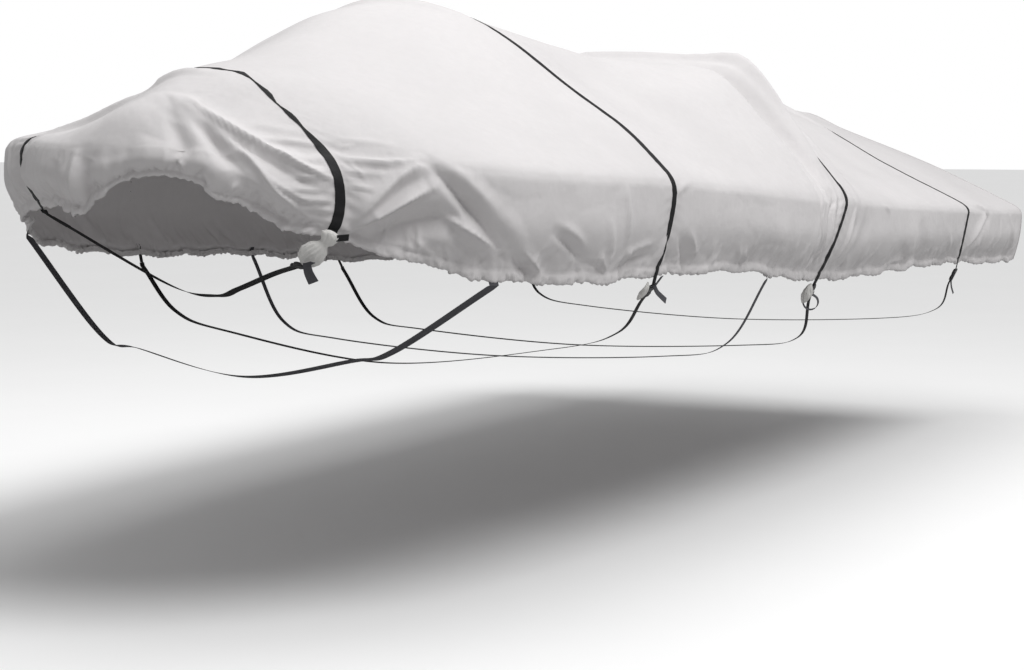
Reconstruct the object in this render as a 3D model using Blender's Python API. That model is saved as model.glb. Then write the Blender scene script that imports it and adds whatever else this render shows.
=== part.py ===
"""Fitted cover for a small open boat on its trailer.

One sheet of cloth lies over the deck and falls past the rim as a skirt with an elastic hem. Flat
webbing is sewn across it, and tie-down webbing passes below the hull from hem to hem.

Bow towards -Y, port side towards +X, +Z up, metres. In the tables a station is the distance aft of
the bow, a height is above the ground below the trailer, and "lee" is the starboard side. The origin
is under the cloth at its highest point, where the boat holds the cover up.
"""
import math
from collections import namedtuple

import bmesh
import bpy
import numpy as np
from mathutils import Vector

# ---------------------------------------------------------------- driving dimensions
CLOTH_THICKNESS = 0.0025
PEAK_STATION = 1.50
PEAK_HEIGHT = 1.768
UNDER_CLOTH = 0.0035          # from the top of the cloth at the peak to the held point below it
SIDE_ROUND = 0.030            # radius of the rim's rounded edge along the sides
NOSE_ROUND = 0.120            # and at the nose,
NOSE_ROUND_END = 0.90         # which fades into the sides at this distance along the rim
ROUNDING = 0.21               # share of that radius cut off the corner
SPINE_START = 0.15            # nose rows run together along the middle from this station
SPINE_FREE = 0.31             # aft of this station every row runs straight across the boat
NOSE_RATE = 0.05              # how fast the nose rows leave that start
WEBBING = 0.0016              # thickness of every strap
SEWN_GAP = 0.0005             # between webbing and cloth
BUTT_GAP = 0.0004             # between two pieces that meet end to end
STRAP_INSET = 0.0010          # the webbing is this much inside its own strip of cloth
TRANSOM_ARCH = 0.30           # the back panel's hem rises by this much around the engine
TRANSOM_ARCH_HALF = 0.42      # half width of that arch
BACK_BULGE = 0.030            # the back panel stands out by this much half way down
BACK_TUCK = 0.050             # and its hem is drawn in by this much
BACK_RIPPLE = 0.010           # depth of the back panel's soft folds at the hem
BACK_NARROWS = 0.02             # share by which its hem is narrower than its top
HEM_WAVE = 0.005                # height of the slow waves along the skirt's hem
BACK_WAVE = 0.004               # and along the back panel's hem
TAIL_NARROWER = 0.004           # a free end is cut this much narrower than its tie
TAIL_PAST = 0.008               # and bends down this far past where it lies flat
TIE_LEAD = 0.012                # a tie leaves what holds it straight for this length
PLEAT = 0.10                    # depth of the gathered bundle's pleats as a share of its radius
SQUARE = ((0, 0), (1, 0), (1, 1), (0, 1))

# Plan and height of the deck's edge, nose to stern corner; on the lee side it is drawn in by lee_in.
Rim = namedtuple("Rim", "half_beam station height lee_lift lee_in")
RIM = [
    Rim(0.000, 0.000, 1.330, 0.000, 0.000),
    Rim(0.170, 0.035, 1.330, 0.005, 0.020),
    Rim(0.340, 0.150, 1.322, 0.012, 0.048),
    Rim(0.500, 0.335, 1.311, 0.024, 0.004),
    Rim(0.635, 0.450, 1.297, 0.038, -0.010),
    Rim(0.785, 0.580, 1.269, 0.053, 0.000),
    Rim(0.890, 0.740, 1.254, 0.041, 0.000),
    Rim(0.960, 0.970, 1.241, 0.024, 0.000),
    Rim(1.005, 1.280, 1.228, 0.004, 0.000),
    Rim(1.035, 1.600, 1.208, 0.000, 0.000),
    Rim(1.070, 1.950, 1.184, 0.000, 0.000),
    Rim(1.095, 2.840, 1.126, 0.000, 0.000),
    Rim(1.103, 4.400, 1.042, 0.000, 0.000),
    Rim(1.085, 5.340, 1.008, 0.000, 0.000),
]

# Shape across the boat: the ridge, a shoulder at a share of the way out, and the flank half way
# between shoulder and rim. crown moves the ridge to port and sag lowers the lee side.
Section = namedtuple("Section", "station crown ridge share shoulder flank sag")
SECTIONS = [
    Section(0.00, 0.00, 1.335, 0.33, 1.335, 1.333, 0.000),
    Section(0.06, 0.06, 1.400, 0.33, 1.385, 1.358, 0.010),
    Section(0.18, 0.11, 1.460, 0.33, 1.442, 1.385, 0.035),
    Section(0.35, 0.12, 1.527, 0.33, 1.512, 1.420, 0.060),
    Section(0.62, 0.08, 1.565, 0.28, 1.535, 1.420, 0.050),
    Section(0.90, 0.04, 1.640, 0.22, 1.600, 1.435, 0.035),
    Section(1.20, 0.00, 1.728, 0.20, 1.690, 1.465, 0.020),
    Section(1.50, 0.00, 1.768, 0.24, 1.722, 1.465, 0.000),
    Section(1.75, 0.00, 1.750, 0.28, 1.685, 1.440, 0.000),
    Section(2.00, 0.00, 1.690, 0.38, 1.628, 1.415, 0.000),
    Section(2.25, 0.00, 1.640, 0.48, 1.588, 1.390, 0.000),
    Section(2.60, 0.00, 1.615, 0.56, 1.586, 1.385, 0.000),
    Section(2.90, 0.00, 1.638, 0.58, 1.606, 1.375, 0.000),
    Section(3.20, 0.00, 1.622, 0.46, 1.535, 1.315, 0.000),
    Section(3.70, 0.00, 1.590, 0.36, 1.485, 1.265, 0.000),
    Section(4.40, 0.00, 1.550, 0.30, 1.435, 1.235, 0.000),
    Section(5.00, 0.00, 1.480, 0.25, 1.390, 1.215, 0.000),
    Section(5.34, 0.00, 1.458, 0.20, 1.375, 1.208, 0.000),
]

# The skirt below the rim, by the distance along the rim from the nose. bulge is how far the middle
# stands out, tuck how far the elastic draws the hem in, and sweep how far the hem is pulled aft.
Skirt = namedtuple("Skirt", "along depth bulge tuck sweep")
SKIRT_PORT = [
    Skirt(0.00, 0.150, 0.000, 0.035, 0.00),
    Skirt(0.10, 0.105, 0.000, 0.030, 0.00),
    Skirt(0.20, 0.085, 0.004, 0.025, 0.00),
    Skirt(0.27, 0.098, 0.006, 0.025, 0.00),
    Skirt(0.31, 0.135, 0.008, 0.025, 0.00),
    Skirt(0.44, 0.166, 0.012, 0.020, 0.00),
    Skirt(0.54, 0.215, 0.024, -0.010, 0.00),
    Skirt(0.64, 0.236, 0.040, -0.030, 0.01),
    Skirt(0.76, 0.260, 0.022, 0.000, 0.01),
    Skirt(0.94, 0.290, 0.012, 0.030, 0.00),
    Skirt(1.20, 0.312, 0.014, 0.038, 0.00),
    Skirt(1.50, 0.314, 0.016, 0.036, 0.00),
    Skirt(1.93, 0.291, 0.010, 0.034, -0.045),
    Skirt(2.45, 0.274, 0.016, 0.034, 0.00),
    Skirt(2.90, 0.288, 0.016, 0.038, -0.05),
    Skirt(3.37, 0.292, 0.006, 0.066, -0.13),
    Skirt(3.75, 0.276, 0.018, 0.040, -0.04),
    Skirt(4.33, 0.246, 0.016, 0.036, 0.00),
    Skirt(4.87, 0.234, 0.004, 0.050, -0.03),
    Skirt(5.30, 0.240, 0.014, 0.036, 0.00),
    Skirt(5.81, 0.240, 0.004, 0.030, 0.00),
]
SKIRT_LEE = [
    Skirt(0.00, 0.150, 0.000, 0.035, 0.00),
    Skirt(0.05, 0.198, 0.004, 0.035, 0.00),
    Skirt(0.20, 0.175, 0.008, 0.030, 0.00),
    Skirt(0.62, 0.195, 0.010, 0.036, 0.00),
    Skirt(1.00, 0.235, 0.012, 0.045, 0.00),
    Skirt(1.30, 0.285, 0.014, 0.045, 0.00),
    Skirt(1.90, 0.286, 0.010, 0.038, 0.00),
    Skirt(2.60, 0.272, 0.016, 0.036, 0.00),
    Skirt(3.37, 0.286, 0.008, 0.052, -0.06),
    Skirt(4.10, 0.256, 0.018, 0.038, 0.00),
    Skirt(4.87, 0.240, 0.006, 0.046, 0.00),
    Skirt(5.81, 0.240, 0.004, 0.030, 0.00),
]

# Main folds: soft ridges (height above 0) and troughs (below 0) from a start to an end point. along is
# the distance round the rim, negative on the lee side; out is how far in from the rim on the deck, and
# negative down the skirt.
Fold = namedtuple("Fold", "along_1 out_1 along_2 out_2 width height")
FOLDS = [
    # the nose: hollows where the cloth turns from the blunt front to the side, and a swelling between
    Fold(0.285, 0.065, 0.255, -0.060, 0.040, -0.013),
    Fold(0.340, 0.080, 0.400, -0.085, 0.036, -0.009),
    Fold(0.320, 0.140, 0.400, 0.100, 0.080, 0.009),
    Fold(0.190, 0.020, 0.170, -0.060, 0.060, 0.006),
    Fold(-0.040, -0.030, -0.075, -0.170, 0.032, 0.011),
    Fold(0.010, -0.040, -0.020, -0.130, 0.034, -0.010),
    Fold(-0.120, -0.050, -0.150, -0.165, 0.045, -0.007),
    # drawn from the nose's corner to the foot of the bow webbing
    Fold(0.420, 0.050, 0.660, -0.085, 0.036, 0.011),
    Fold(0.380, -0.015, 0.600, -0.090, 0.030, -0.009),
    Fold(0.400, -0.010, 0.635, -0.205, 0.032, 0.011),
    Fold(0.430, -0.085, 0.620, -0.185, 0.024, -0.008),
    Fold(0.400, -0.090, 0.640, -0.225, 0.026, 0.008),
    Fold(0.460, 0.026, 0.650, 0.008, 0.040, -0.006),
    # aft of the bow webbing: a long pleat to its foot, and the slack below it
    Fold(0.960, -0.015, 0.690, -0.225, 0.048, 0.015),
    Fold(0.960, -0.085, 0.705, -0.235, 0.038, -0.013),
    Fold(0.850, -0.030, 0.700, -0.130, 0.036, -0.007),
    Fold(0.920, -0.140, 1.080, -0.250, 0.042, 0.010),
    Fold(0.980, -0.120, 1.160, -0.260, 0.040, -0.010),
    Fold(1.170, -0.220, 1.330, -0.310, 0.036, 0.009),
    # wrinkles at the hem forward of the front webbing
    Fold(1.300, -0.175, 1.390, -0.235, 0.026, -0.009),
    Fold(1.420, -0.245, 1.560, -0.270, 0.030, -0.009),
    Fold(1.600, -0.180, 1.640, -0.290, 0.040, 0.008),
    Fold(1.640, -0.240, 1.830, -0.215, 0.028, -0.009),
    Fold(1.940, -0.080, 1.990, -0.250, 0.034, 0.008),
    Fold(2.030, -0.150, 2.060, -0.260, 0.038, -0.008),
    # the wide hollow between the two rises, and the pleats drawn down to the middle webbing
    Fold(2.140, 0.565, 3.200, 0.400, 0.170, -0.018),
    Fold(3.300, 0.560, 3.260, 0.010, 0.045, 0.014),
    Fold(3.390, 0.560, 3.360, 0.060, 0.050, -0.016),
    Fold(3.480, 0.500, 3.440, 0.010, 0.055, 0.010),
    Fold(3.150, 0.010, 3.030, -0.235, 0.040, 0.009),
    Fold(3.210, 0.005, 3.090, -0.235, 0.030, -0.008),
    Fold(3.260, 0.005, 3.180, -0.240, 0.034, 0.010),
    Fold(3.440, -0.020, 3.420, -0.250, 0.040, 0.008),
    Fold(3.560, -0.060, 3.520, -0.240, 0.050, -0.007),
    # the aft side and the stern corner
    Fold(4.150, -0.060, 4.230, -0.230, 0.080, -0.009),
    Fold(5.050, 0.060, 5.080, -0.200, 0.055, 0.009),
    Fold(5.170, 0.030, 5.150, -0.180, 0.045, -0.008),
    Fold(5.560, -0.020, 5.640, -0.220, 0.060, 0.009),
    # the lee side
    Fold(-0.520, -0.020, -0.610, -0.180, 0.040, 0.009),
    Fold(-0.720, 0.000, -0.690, -0.180, 0.040, 0.009),
    Fold(-0.900, -0.020, -0.720, -0.200, 0.045, -0.010),
    Fold(-1.150, -0.100, -1.300, -0.250, 0.060, 0.010),
    Fold(-1.600, -0.120, -1.700, -0.260, 0.060, -0.010),
    Fold(-2.140, 0.565, -3.200, 0.400, 0.170, -0.014),
    Fold(-3.290, 0.500, -3.250, 0.000, 0.050, 0.012),
    Fold(-3.460, 0.420, -3.440, 0.010, 0.055, 0.010),
    Fold(-3.170, -0.010, -3.080, -0.235, 0.045, -0.008),
    Fold(-4.300, -0.050, -4.220, -0.230, 0.080, 0.009),
    Fold(-5.250, 0.040, -5.180, -0.200, 0.060, -0.008),
]

# Webbing sewn across the cloth: where it crosses the rim, how wide it is, and how far its port and
# lee feet reach past the hem. It drifts aft by drift and top_drift on its way up the deck, and sways
# aft by sway half way down the skirt.
DeckStrap = namedtuple("DeckStrap", "name station width foot lee_foot drift top_drift sway")
DECK_STRAPS = [
    DeckStrap("bow_strap", 0.345, 0.038, 0.003, 0.012, -0.01, -0.03, 0.034),
    DeckStrap("front_strap", 1.465, 0.034, 0.028, 0.032, 0.16, 0.06, 0.000),
    DeckStrap("middle_strap", 2.860, 0.034, 0.028, 0.032, 0.05, 0.05, -0.040),
    DeckStrap("stern_strap", 4.420, 0.027, 0.028, 0.032, -0.04, 0.05, -0.050),
]
DRIFT_AT = (0.0, 0.30, 0.95)    # distances in from the rim where the drifts are given
DRIFT_REACH = 0.40              # the cloth beside the webbing moves with it this far off

# Tie-down webbing below the hull, at its own strip of the hem: the chine and bilge that it bends round,
# the keel, and the chine on the lee side. A buckled one hangs from the deck webbing's foot.
Tie = namedtuple("Tie", "name station width buckled chine_x chine_h bilge_x bilge_h keel_shift keel_h "
                        "lee_x lee_h")
TIES = [
    Tie("bow_tie", 0.345, 0.025, True, 0.30, 0.930, 0.12, 0.890, 0.22, 0.880, 0.385, 1.080),
    Tie("fore_tie", 0.680, 0.032, False, 0.52, 0.740, 0.38, 0.705, 0.00, 0.640, 0.52, 0.740),
    Tie("front_tie", 1.465, 0.025, True, 0.84, 0.740, 0.62, 0.680, 0.00, 0.605, 0.84, 0.740),
    Tie("side_tie", 2.200, 0.025, False, 0.90, 0.645, 0.66, 0.590, 0.00, 0.560, 0.90, 0.645),
    Tie("middle_tie", 2.860, 0.025, True, 0.91, 0.610, 0.68, 0.570, 0.00, 0.540, 0.91, 0.610),
    Tie("stern_tie", 4.420, 0.025, True, 0.96, 0.600, 0.70, 0.550, 0.00, 0.520, 0.96, 0.600),
]

# Rows of the sheet: shares of the way from the rim to the middle, and from the rim down to the hem.
DECK_ROWS = [0.0, 0.030, 0.080, 0.14, 0.21, 0.30, 0.40, 0.51, 0.63, 0.76, 0.88, 1.0]
SKIRT_ROWS = [0.0, 0.11, 0.29, 0.48, 0.67, 0.86, 1.0]

# Columns of the sheet between the strips of webbing, nose to stern; a crowding under 1 packs them
# towards the run's aft end, where folds are narrow.
Run = namedtuple("Run", "count crowding")
RUNS = [Run(14, 0.95), Run(9, 1.1), Run(9, 1.0), Run(6, 1.0), Run(10, 0.70), Run(12, 1.15), Run(7, 1.0)]

AFT = Vector((0.0, 1.0, 0.0))
DOWN = Vector((0.0, 0.0, -1.0))

# Side-release buckle: shares of its length and width round its outline.
BUCKLE_LENGTH = 0.052
BUCKLE_WIDTH = 0.036
BUCKLE_DEPTH = 0.009
BUCKLE_OUTLINE = [(-0.50, -0.42), (-0.44, -0.50), (-0.12, -0.50), (-0.02, -0.36), (0.12, -0.36),
                  (0.20, -0.48), (0.44, -0.48), (0.50, -0.40), (0.50, 0.40), (0.44, 0.48),
                  (0.20, 0.48), (0.12, 0.36), (-0.02, 0.36), (-0.12, 0.50), (-0.44, 0.50), (-0.50, 0.42)]

TAIL_LIES = (-0.012, 0.010, 0.027, 0.032)   # places along the buckle where the free end lies flat

# Free ends of the ties: how long, how far the end stands off, and how far aft it blows.
Tail = namedtuple("Tail", "tie length lift aft")
TAILS = [
    Tail("bow_tie", 0.065, 0.020, 0.012),
    Tail("front_tie", 0.075, 0.020, 0.045),
    Tail("middle_tie", 0.085, 0.024, 0.030),
    Tail("stern_tie", 0.070, 0.010, 0.010),
]

# The gathered bundle at the bow webbing's port foot.
GATHER_TO = (0.440, 0.300, 0.985)
GATHER_LENGTH = 0.092
GATHER_BEND = 0.022
GATHER_RINGS = 12
GATHER_SIDES = 14
GATHER_FLAT = 0.55
Gather = namedtuple("Gather", "way radius")
GATHER = [Gather(0.0, 0.005), Gather(0.16, 0.007), Gather(0.32, 0.026), Gather(0.42, 0.027),
          Gather(0.52, 0.016), Gather(0.68, 0.031), Gather(0.88, 0.025), Gather(1.0, 0.008)]

COVER_COLOUR = (0.70, 0.69, 0.69, 1.0)
WEBBING_COLOUR = (0.018, 0.018, 0.019, 1.0)
PLASTIC_COLOUR = (0.02, 0.02, 0.02, 1.0)
GATHER_COLOUR = (0.78, 0.77, 0.75, 1.0)


# ---------------------------------------------------------------- small helpers
def through(xs, ys, x):
    """A smooth curve through table values that never overshoots them."""
    xs = np.asarray(xs, float)
    ys = np.asarray(ys, float)
    step = np.diff(xs)
    slope = np.diff(ys) / step
    tangent = np.zeros(len(xs))
    tangent[0] = slope[0]
    tangent[-1] = slope[-1]
    for i in range(1, len(xs) - 1):
        if slope[i - 1] * slope[i] > 0:
            w1 = 2 * step[i] + step[i - 1]
            w2 = step[i] + 2 * step[i - 1]
            tangent[i] = (w1 + w2) / (w1 / slope[i - 1] + w2 / slope[i])
    x = min(max(x, xs[0]), xs[-1])
    k = min(max(int(np.searchsorted(xs, x)) - 1, 0), len(xs) - 2)
    t = (x - xs[k]) / step[k]
    return float(
        (2 * t**3 - 3 * t**2 + 1) * ys[k]
        + (t**3 - 2 * t**2 + t) * step[k] * tangent[k]
        + (3 * t**2 - 2 * t**3) * ys[k + 1]
        + (t**3 - t**2) * step[k] * tangent[k + 1]
    )


def column(table, name):
    return [getattr(row, name) for row in table]


def smooth_path(points, per_span=30):
    """Centripetal curve through rows of numbers; the first row is mirrored about the middle."""
    rows = np.array(points, float)
    before = rows[1].copy()
    before[0] = -before[0]
    rows = np.vstack([before, rows, 2 * rows[-1] - rows[-2]])
    out = []
    for i in range(1, len(rows) - 2):
        p = rows[i - 1:i + 3]
        t = np.concatenate([[0.0], np.cumsum(np.sqrt(np.linalg.norm(np.diff(p, axis=0), axis=1)))])
        for k in range(per_span):
            u = t[1] + (t[2] - t[1]) * k / per_span
            a = [((t[j + 1] - u) * p[j] + (u - t[j]) * p[j + 1]) / (t[j + 1] - t[j]) for j in range(3)]
            b = [((t[j + 2] - u) * a[j] + (u - t[j]) * a[j + 1]) / (t[j + 2] - t[j]) for j in range(2)]
            out.append(((t[2] - u) * b[0] + (u - t[1]) * b[1]) / (t[2] - t[1]))
    out.append(rows[-2])
    return np.array(out)


RIM_PATH = smooth_path(RIM)
RIM_ALONG = np.concatenate([[0.0], np.cumsum(np.linalg.norm(np.diff(RIM_PATH[:, :2], axis=0), axis=1))])
RIM_LENGTH = float(RIM_ALONG[-1])


def rim_at(along):
    """The rim's values, in the order of its table, at a distance along it."""
    return [float(np.interp(along, RIM_ALONG, RIM_PATH[:, i])) for i in range(5)]


def half_beam(side, along):
    half, _, _, _, lee_in = rim_at(along)
    return half - lee_in if side < 0 else half


def rim_along(station):
    return float(np.interp(station, RIM_PATH[:, 1], RIM_ALONG))


def rim_outward(along):
    """Unit direction out of the deck in plan, on the port side, and the direction aft along the rim."""
    x0, s0 = rim_at(max(along - 0.02, 0.0))[:2]
    x1, s1 = rim_at(min(along + 0.02, RIM_LENGTH))[:2]
    if along < 0.02:
        x0, s0 = -x1, s1
    length = math.hypot(x1 - x0, s1 - s0)
    aft = ((x1 - x0) / length, (s1 - s0) / length)
    return (aft[1], -aft[0]), aft


def rounding(along, distance):
    """How far the rounded edge is drawn in and down at a distance from the sharp rim."""
    nose = max(1 - along / NOSE_ROUND_END, 0.0)
    radius = SIDE_ROUND + (NOSE_ROUND - SIDE_ROUND) * nose
    return ROUNDING * radius * max(1 - distance / radius, 0.0) ** 2


# ---------------------------------------------------------------- the draped surface
def deck_height(x, station):
    """Height of the cloth above a point of the deck; x is positive to port."""
    half, height, lift, lee_in = [float(np.interp(station, RIM_PATH[:, 1], RIM_PATH[:, i]))
                                  for i in (0, 2, 3, 4)]
    lee_half = max(half - lee_in, 1e-4)
    half = max(half, 1e-4)
    at = {name: through(column(SECTIONS, "station"), column(SECTIONS, name), station)
          for name in Section._fields[1:]}
    crown = min(at["crown"], 0.6 * half)
    lee = x < crown
    share = min((crown - x) / (lee_half + crown) if lee else (x - crown) / (half - crown), 1.0)
    sag = at["sag"] if lee else 0.0
    ways = [-at["share"], 0.0, at["share"], (1 + at["share"]) / 2, 1.0]
    heights = [at["shoulder"], at["ridge"], at["shoulder"] - sag, at["flank"] - sag, height]
    return through(ways, heights, share) + (lift * share**2 if lee else 0.0)


def spine_station(along, station):
    """Where the row from a point of the rim meets the middle of the boat."""
    end = rim_along(SPINE_FREE)
    if along >= end:
        return station
    u = along / end
    reach = SPINE_FREE - SPINE_START
    leave = rim_outward(end)[1][1] * end
    return (SPINE_START + reach * u**2 * (3 - 2 * u) + NOSE_RATE * (u**3 - 2 * u**2 + u)
            + leave * (u**3 - u**2))


def drifted(along, out, way):
    """A place along the rim moved with the webbing near it; way is 0 at the rim and 1 at the hem."""
    moved = along
    for strap in DECK_STRAPS:
        beside = max(abs(along - rim_along(strap.station)) - strap.width / 2, 0.0)
        near = max(1 - beside / DRIFT_REACH, 0.0)
        sway = 4 * strap.sway * way * (1 - way)
        drift = through(DRIFT_AT, (0.0, strap.drift, strap.top_drift), out) if out > 0 else sway
        moved += drift * near**2 * (3 - 2 * near)
    return moved


def deck_point(side, along, way):
    station = rim_at(along)[1]
    middle = spine_station(along, station)
    x = side * half_beam(side, along) * (1 - way)
    s = station + (middle - station) * way
    z = deck_height(x, s)
    out, _ = rim_outward(along)
    drawn = rounding(along, math.hypot(x - side * half_beam(side, along), s - station))
    return Vector((x - side * drawn * out[0], s - drawn * out[1], z - drawn))


def skirt_point(side, along, way):
    _, station, height, lift, _ = rim_at(along)
    half = half_beam(side, along)
    table = SKIRT_PORT if side > 0 else SKIRT_LEE
    depth, bulge, tuck, sweep = [through(column(table, "along"), column(table, name), along)
                                 for name in Skirt._fields[1:]]
    if side < 0:
        height += lift
    out, aft = rim_outward(along)
    scallop = math.sin(17.0 * along + side) + 0.6 * math.sin(31.0 * along + 2 * side)
    drop = (depth + HEM_WAVE * math.sin(23.0 * along + 2 * side) * way) * way
    drawn = rounding(along, drop)
    off = bulge * math.sin(math.pi * way**0.8) - tuck * way**2 + HEM_WAVE * scallop * way**2 - drawn
    run = sweep * way
    x = side * (half + out[0] * off + aft[0] * run)
    s = station + out[1] * off + aft[1] * run
    return Vector((x, s, height - drop - drawn))


def to_part(point):
    return Vector((point[0], point[1] - PEAK_STATION, point[2] - PEAK_HEIGHT + UNDER_CLOTH))


# ---------------------------------------------------------------- the grid of the sheet
def strips():
    """Strips of cloth that carry webbing: name of the strip, and its two places along the rim."""
    rows = {}
    for strap in list(DECK_STRAPS) + [t for t in TIES if not t.buckled]:
        middle = rim_along(strap.station)
        rows[strap.station] = (middle - strap.width / 2, middle + strap.width / 2)
    return dict(sorted(rows.items()))


def columns():
    """Places along the rim, nose first, and for each strip the number of its first column."""
    places = [0.0]
    first = {}
    edges = list(strips().items())
    for number, run in enumerate(RUNS):
        end = edges[number][1][0] if number < len(edges) else RIM_LENGTH
        start = places[-1]
        for k in range(run.count):
            places.append(start + (end - start) * ((k + 1) / run.count) ** run.crowding)
        if number < len(edges):
            first[edges[number][0]] = len(places) - 1
            places.append(edges[number][1][1])
    return places, first


class Sheet:
    """Points of the cloth by side (+1 port, -1 lee), column and row; row 0 is the rim, positive rows
    go up the deck to the middle and negative rows down the skirt to the hem."""

    def __init__(self):
        self.places, self.first = columns()
        self.top = len(DECK_ROWS) - 1
        self.low = -(len(SKIRT_ROWS) - 1)
        self.mesh = bmesh.new()
        self.verts = {}
        self.cloth = {}
        for side in (1, -1):
            for i, along in enumerate(self.places):
                for j in range(self.low, self.top + 1):
                    self.add(side, i, j, along)
        self.add_back()
        self.add_faces()
        self.mesh.normal_update()
        self.fold()
        self.mesh.normal_update()

    def key(self, side, i, j):
        return (0 if j == self.top or i == 0 else side, i, j)

    def add(self, side, i, j, along):
        key = self.key(side, i, j)
        if key in self.verts:
            return
        if j >= 0:
            point = deck_point(side, along, DECK_ROWS[j])
            out = (point - deck_point(side, along, 0.0)).to_2d().length
            point = deck_point(side, drifted(along, out, 0.0), DECK_ROWS[j])
        else:
            way = SKIRT_ROWS[-j]
            point = skirt_point(side, drifted(along, 0.0, way), way)
            out = point.z - deck_point(side, along, 0.0).z
        self.verts[key] = self.mesh.verts.new(to_part(point))
        self.cloth[key] = (side * along, out)

    def add_back(self):
        """The panel that hangs at the transom, from the last row across the deck to its own hem."""
        last = len(self.places) - 1
        half = RIM[-1].half_beam
        for side in (1, -1):
            for j in range(1, self.top + 1):
                edge = self.verts[self.key(side, last, j)].co
                corner = self.verts[self.key(side, last, self.low)].co.z
                arch = 0.5 + 0.5 * math.cos(math.pi * min(abs(edge.x) / TRANSOM_ARCH_HALF, 1.0))
                hem = corner + TRANSOM_ARCH * arch + BACK_WAVE * math.sin(19.0 * edge.x)
                for k in range(1, -self.low + 1):
                    way = SKIRT_ROWS[k]
                    key = ("back", 0 if j == self.top else side, j, k)
                    if key in self.verts:
                        continue
                    off = BACK_BULGE * math.sin(math.pi * way) - BACK_TUCK * way**2
                    ripple = BACK_RIPPLE * math.sin(14.0 * edge.x + 1.0) * way
                    x = edge.x * (1 - BACK_NARROWS * way * abs(edge.x) / half)
                    point = Vector((x, edge.y + off + ripple, edge.z + (hem - edge.z) * way))
                    self.verts[key] = self.mesh.verts.new(point)
                    self.cloth[key] = (0.0, -9.0)

    def back_vert(self, side, j, k):
        last = len(self.places) - 1
        if j == 0 or k == 0:
            return self.verts[self.key(side, last, -k if j == 0 else j)]
        return self.verts[("back", 0 if j == self.top else side, j, k)]

    def face(self, corners, flip):
        ring = []
        for corner in corners:
            if corner not in ring:
                ring.append(corner)
        if len(ring) > 2:
            self.mesh.faces.new(ring[::-1] if flip else ring)

    def add_faces(self):
        for side in (1, -1):
            for i in range(len(self.places) - 1):
                for j in range(self.low, self.top):
                    ring = [self.verts[self.key(side, i + a, j + b)] for a, b in SQUARE]
                    self.face(ring, side < 0)
            for j in range(self.top):
                for k in range(-self.low):
                    ring = [self.back_vert(side, j + a, k + b) for a, b in SQUARE]
                    self.face(ring, side > 0)

    def fold(self):
        """Moves each point along its normal by the folds and the scatter of small slack."""
        moves = []
        for key, vert in self.verts.items():
            along, out = self.cloth[key]
            moves.append((vert, vert.normal.copy() * sum(fold_height(f, along, out) for f in FOLDS)))
        for vert, move in moves:
            vert.co += move

    def strip_row(self, side, i, j):
        """The two points of the cloth on the edges of a strip, forward one first."""
        return self.verts[self.key(side, i, j)], self.verts[self.key(side, i + 1, j)]

    def path(self, i, lower, lee_lower):
        """Rows of one strip from the port side over the boat to the lee side."""
        rows = [(1, j) for j in range(lower, self.top + 1)]
        rows += [(-1, j) for j in range(self.top - 1, lee_lower - 1, -1)]
        return [self.strip_row(side, i, j) for side, j in rows]


def fold_height(fold, along, out):
    """Height of one fold at a place of the cloth."""
    start = np.array([fold.along_1, fold.out_1])
    way = np.array([fold.along_2, fold.out_2]) - start
    share = float(np.dot(np.array([along, out]) - start, way) / np.dot(way, way))
    nearest = start + way * min(max(share, 0.0), 1.0)
    far = float(np.linalg.norm(np.array([along, out]) - nearest)) / fold.width
    if far >= 1.0:
        return 0.0
    ends = math.sin(math.pi * min(max(share, 0.04), 0.96)) ** 0.6
    return fold.height * ends * (1 - far * far) ** 2


# ---------------------------------------------------------------- solids
def material(name, colour, roughness):
    mat = bpy.data.materials.new(name)
    mat.use_nodes = True
    shader = mat.node_tree.nodes["Principled BSDF"]
    shader.inputs["Base Color"].default_value = colour
    shader.inputs["Roughness"].default_value = roughness
    shader.inputs["Metallic"].default_value = 0.0
    return mat


def place(name, mesh, mat):
    """Makes a named object of a bmesh."""
    bmesh.ops.recalc_face_normals(mesh, faces=mesh.faces)
    data = bpy.data.meshes.new(name)
    mesh.to_mesh(data)
    mesh.free()
    data.materials.append(mat)
    obj = bpy.data.objects.new(name, data)
    bpy.context.collection.objects.link(obj)
    return obj


def ribbon(name, sections, mat):
    """A closed flat strap. Each section holds its two edges and the direction of its face."""
    mesh = bmesh.new()
    rings = []
    for left, right, face in sections:
        up = face.normalized() * (WEBBING / 2)
        rings.append([mesh.verts.new(p) for p in (left - up, right - up, right + up, left + up)])
    for a, b in zip(rings, rings[1:]):
        for k in range(4):
            mesh.faces.new([a[k], a[(k + 1) % 4], b[(k + 1) % 4], b[k]])
    mesh.faces.new(rings[0][::-1])
    mesh.faces.new(rings[-1])
    return place(name, mesh, mat)


def strip_sections(rows, lift):
    """Ribbon sections on a strip of the cloth, lifted off it along the cloth's normals."""
    out = []
    for a, b in rows:
        face = (a.normal + b.normal).normalized()
        across = (b.co - a.co).normalized() * STRAP_INSET
        out.append((a.co + across + face * lift, b.co - across + face * lift, face))
    return out


def carried_on(section, before, length):
    """A square section past the last one, in the direction that the strap runs."""
    middle = (section[0] + section[1]) / 2
    way = (middle - (before[0] + before[1]) / 2).normalized()
    across = section[1] - section[0]
    half = (across - way * across.dot(way)).normalized() * (across.length / 2)
    face = way.cross(half)
    if face.dot(section[2]) < 0:
        face = -face
    end = middle + way * length
    return (end - half, end + half, face)


def smooth_line(points, per_span):
    """Points of an open smooth curve through the given ones."""
    pts = [points[0] * 2 - points[1]] + list(points) + [points[-1] * 2 - points[-2]]
    out = []
    for i in range(1, len(pts) - 2):
        a, b, c, d = pts[i - 1:i + 3]
        for k in range(per_span):
            t = k / per_span
            out.append(0.5 * (2 * b + (c - a) * t + (2 * a - 5 * b + 4 * c - d) * t**2
                              + (3 * b - a - 3 * c + d) * t**3))
    out.append(points[-1])
    return out


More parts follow.
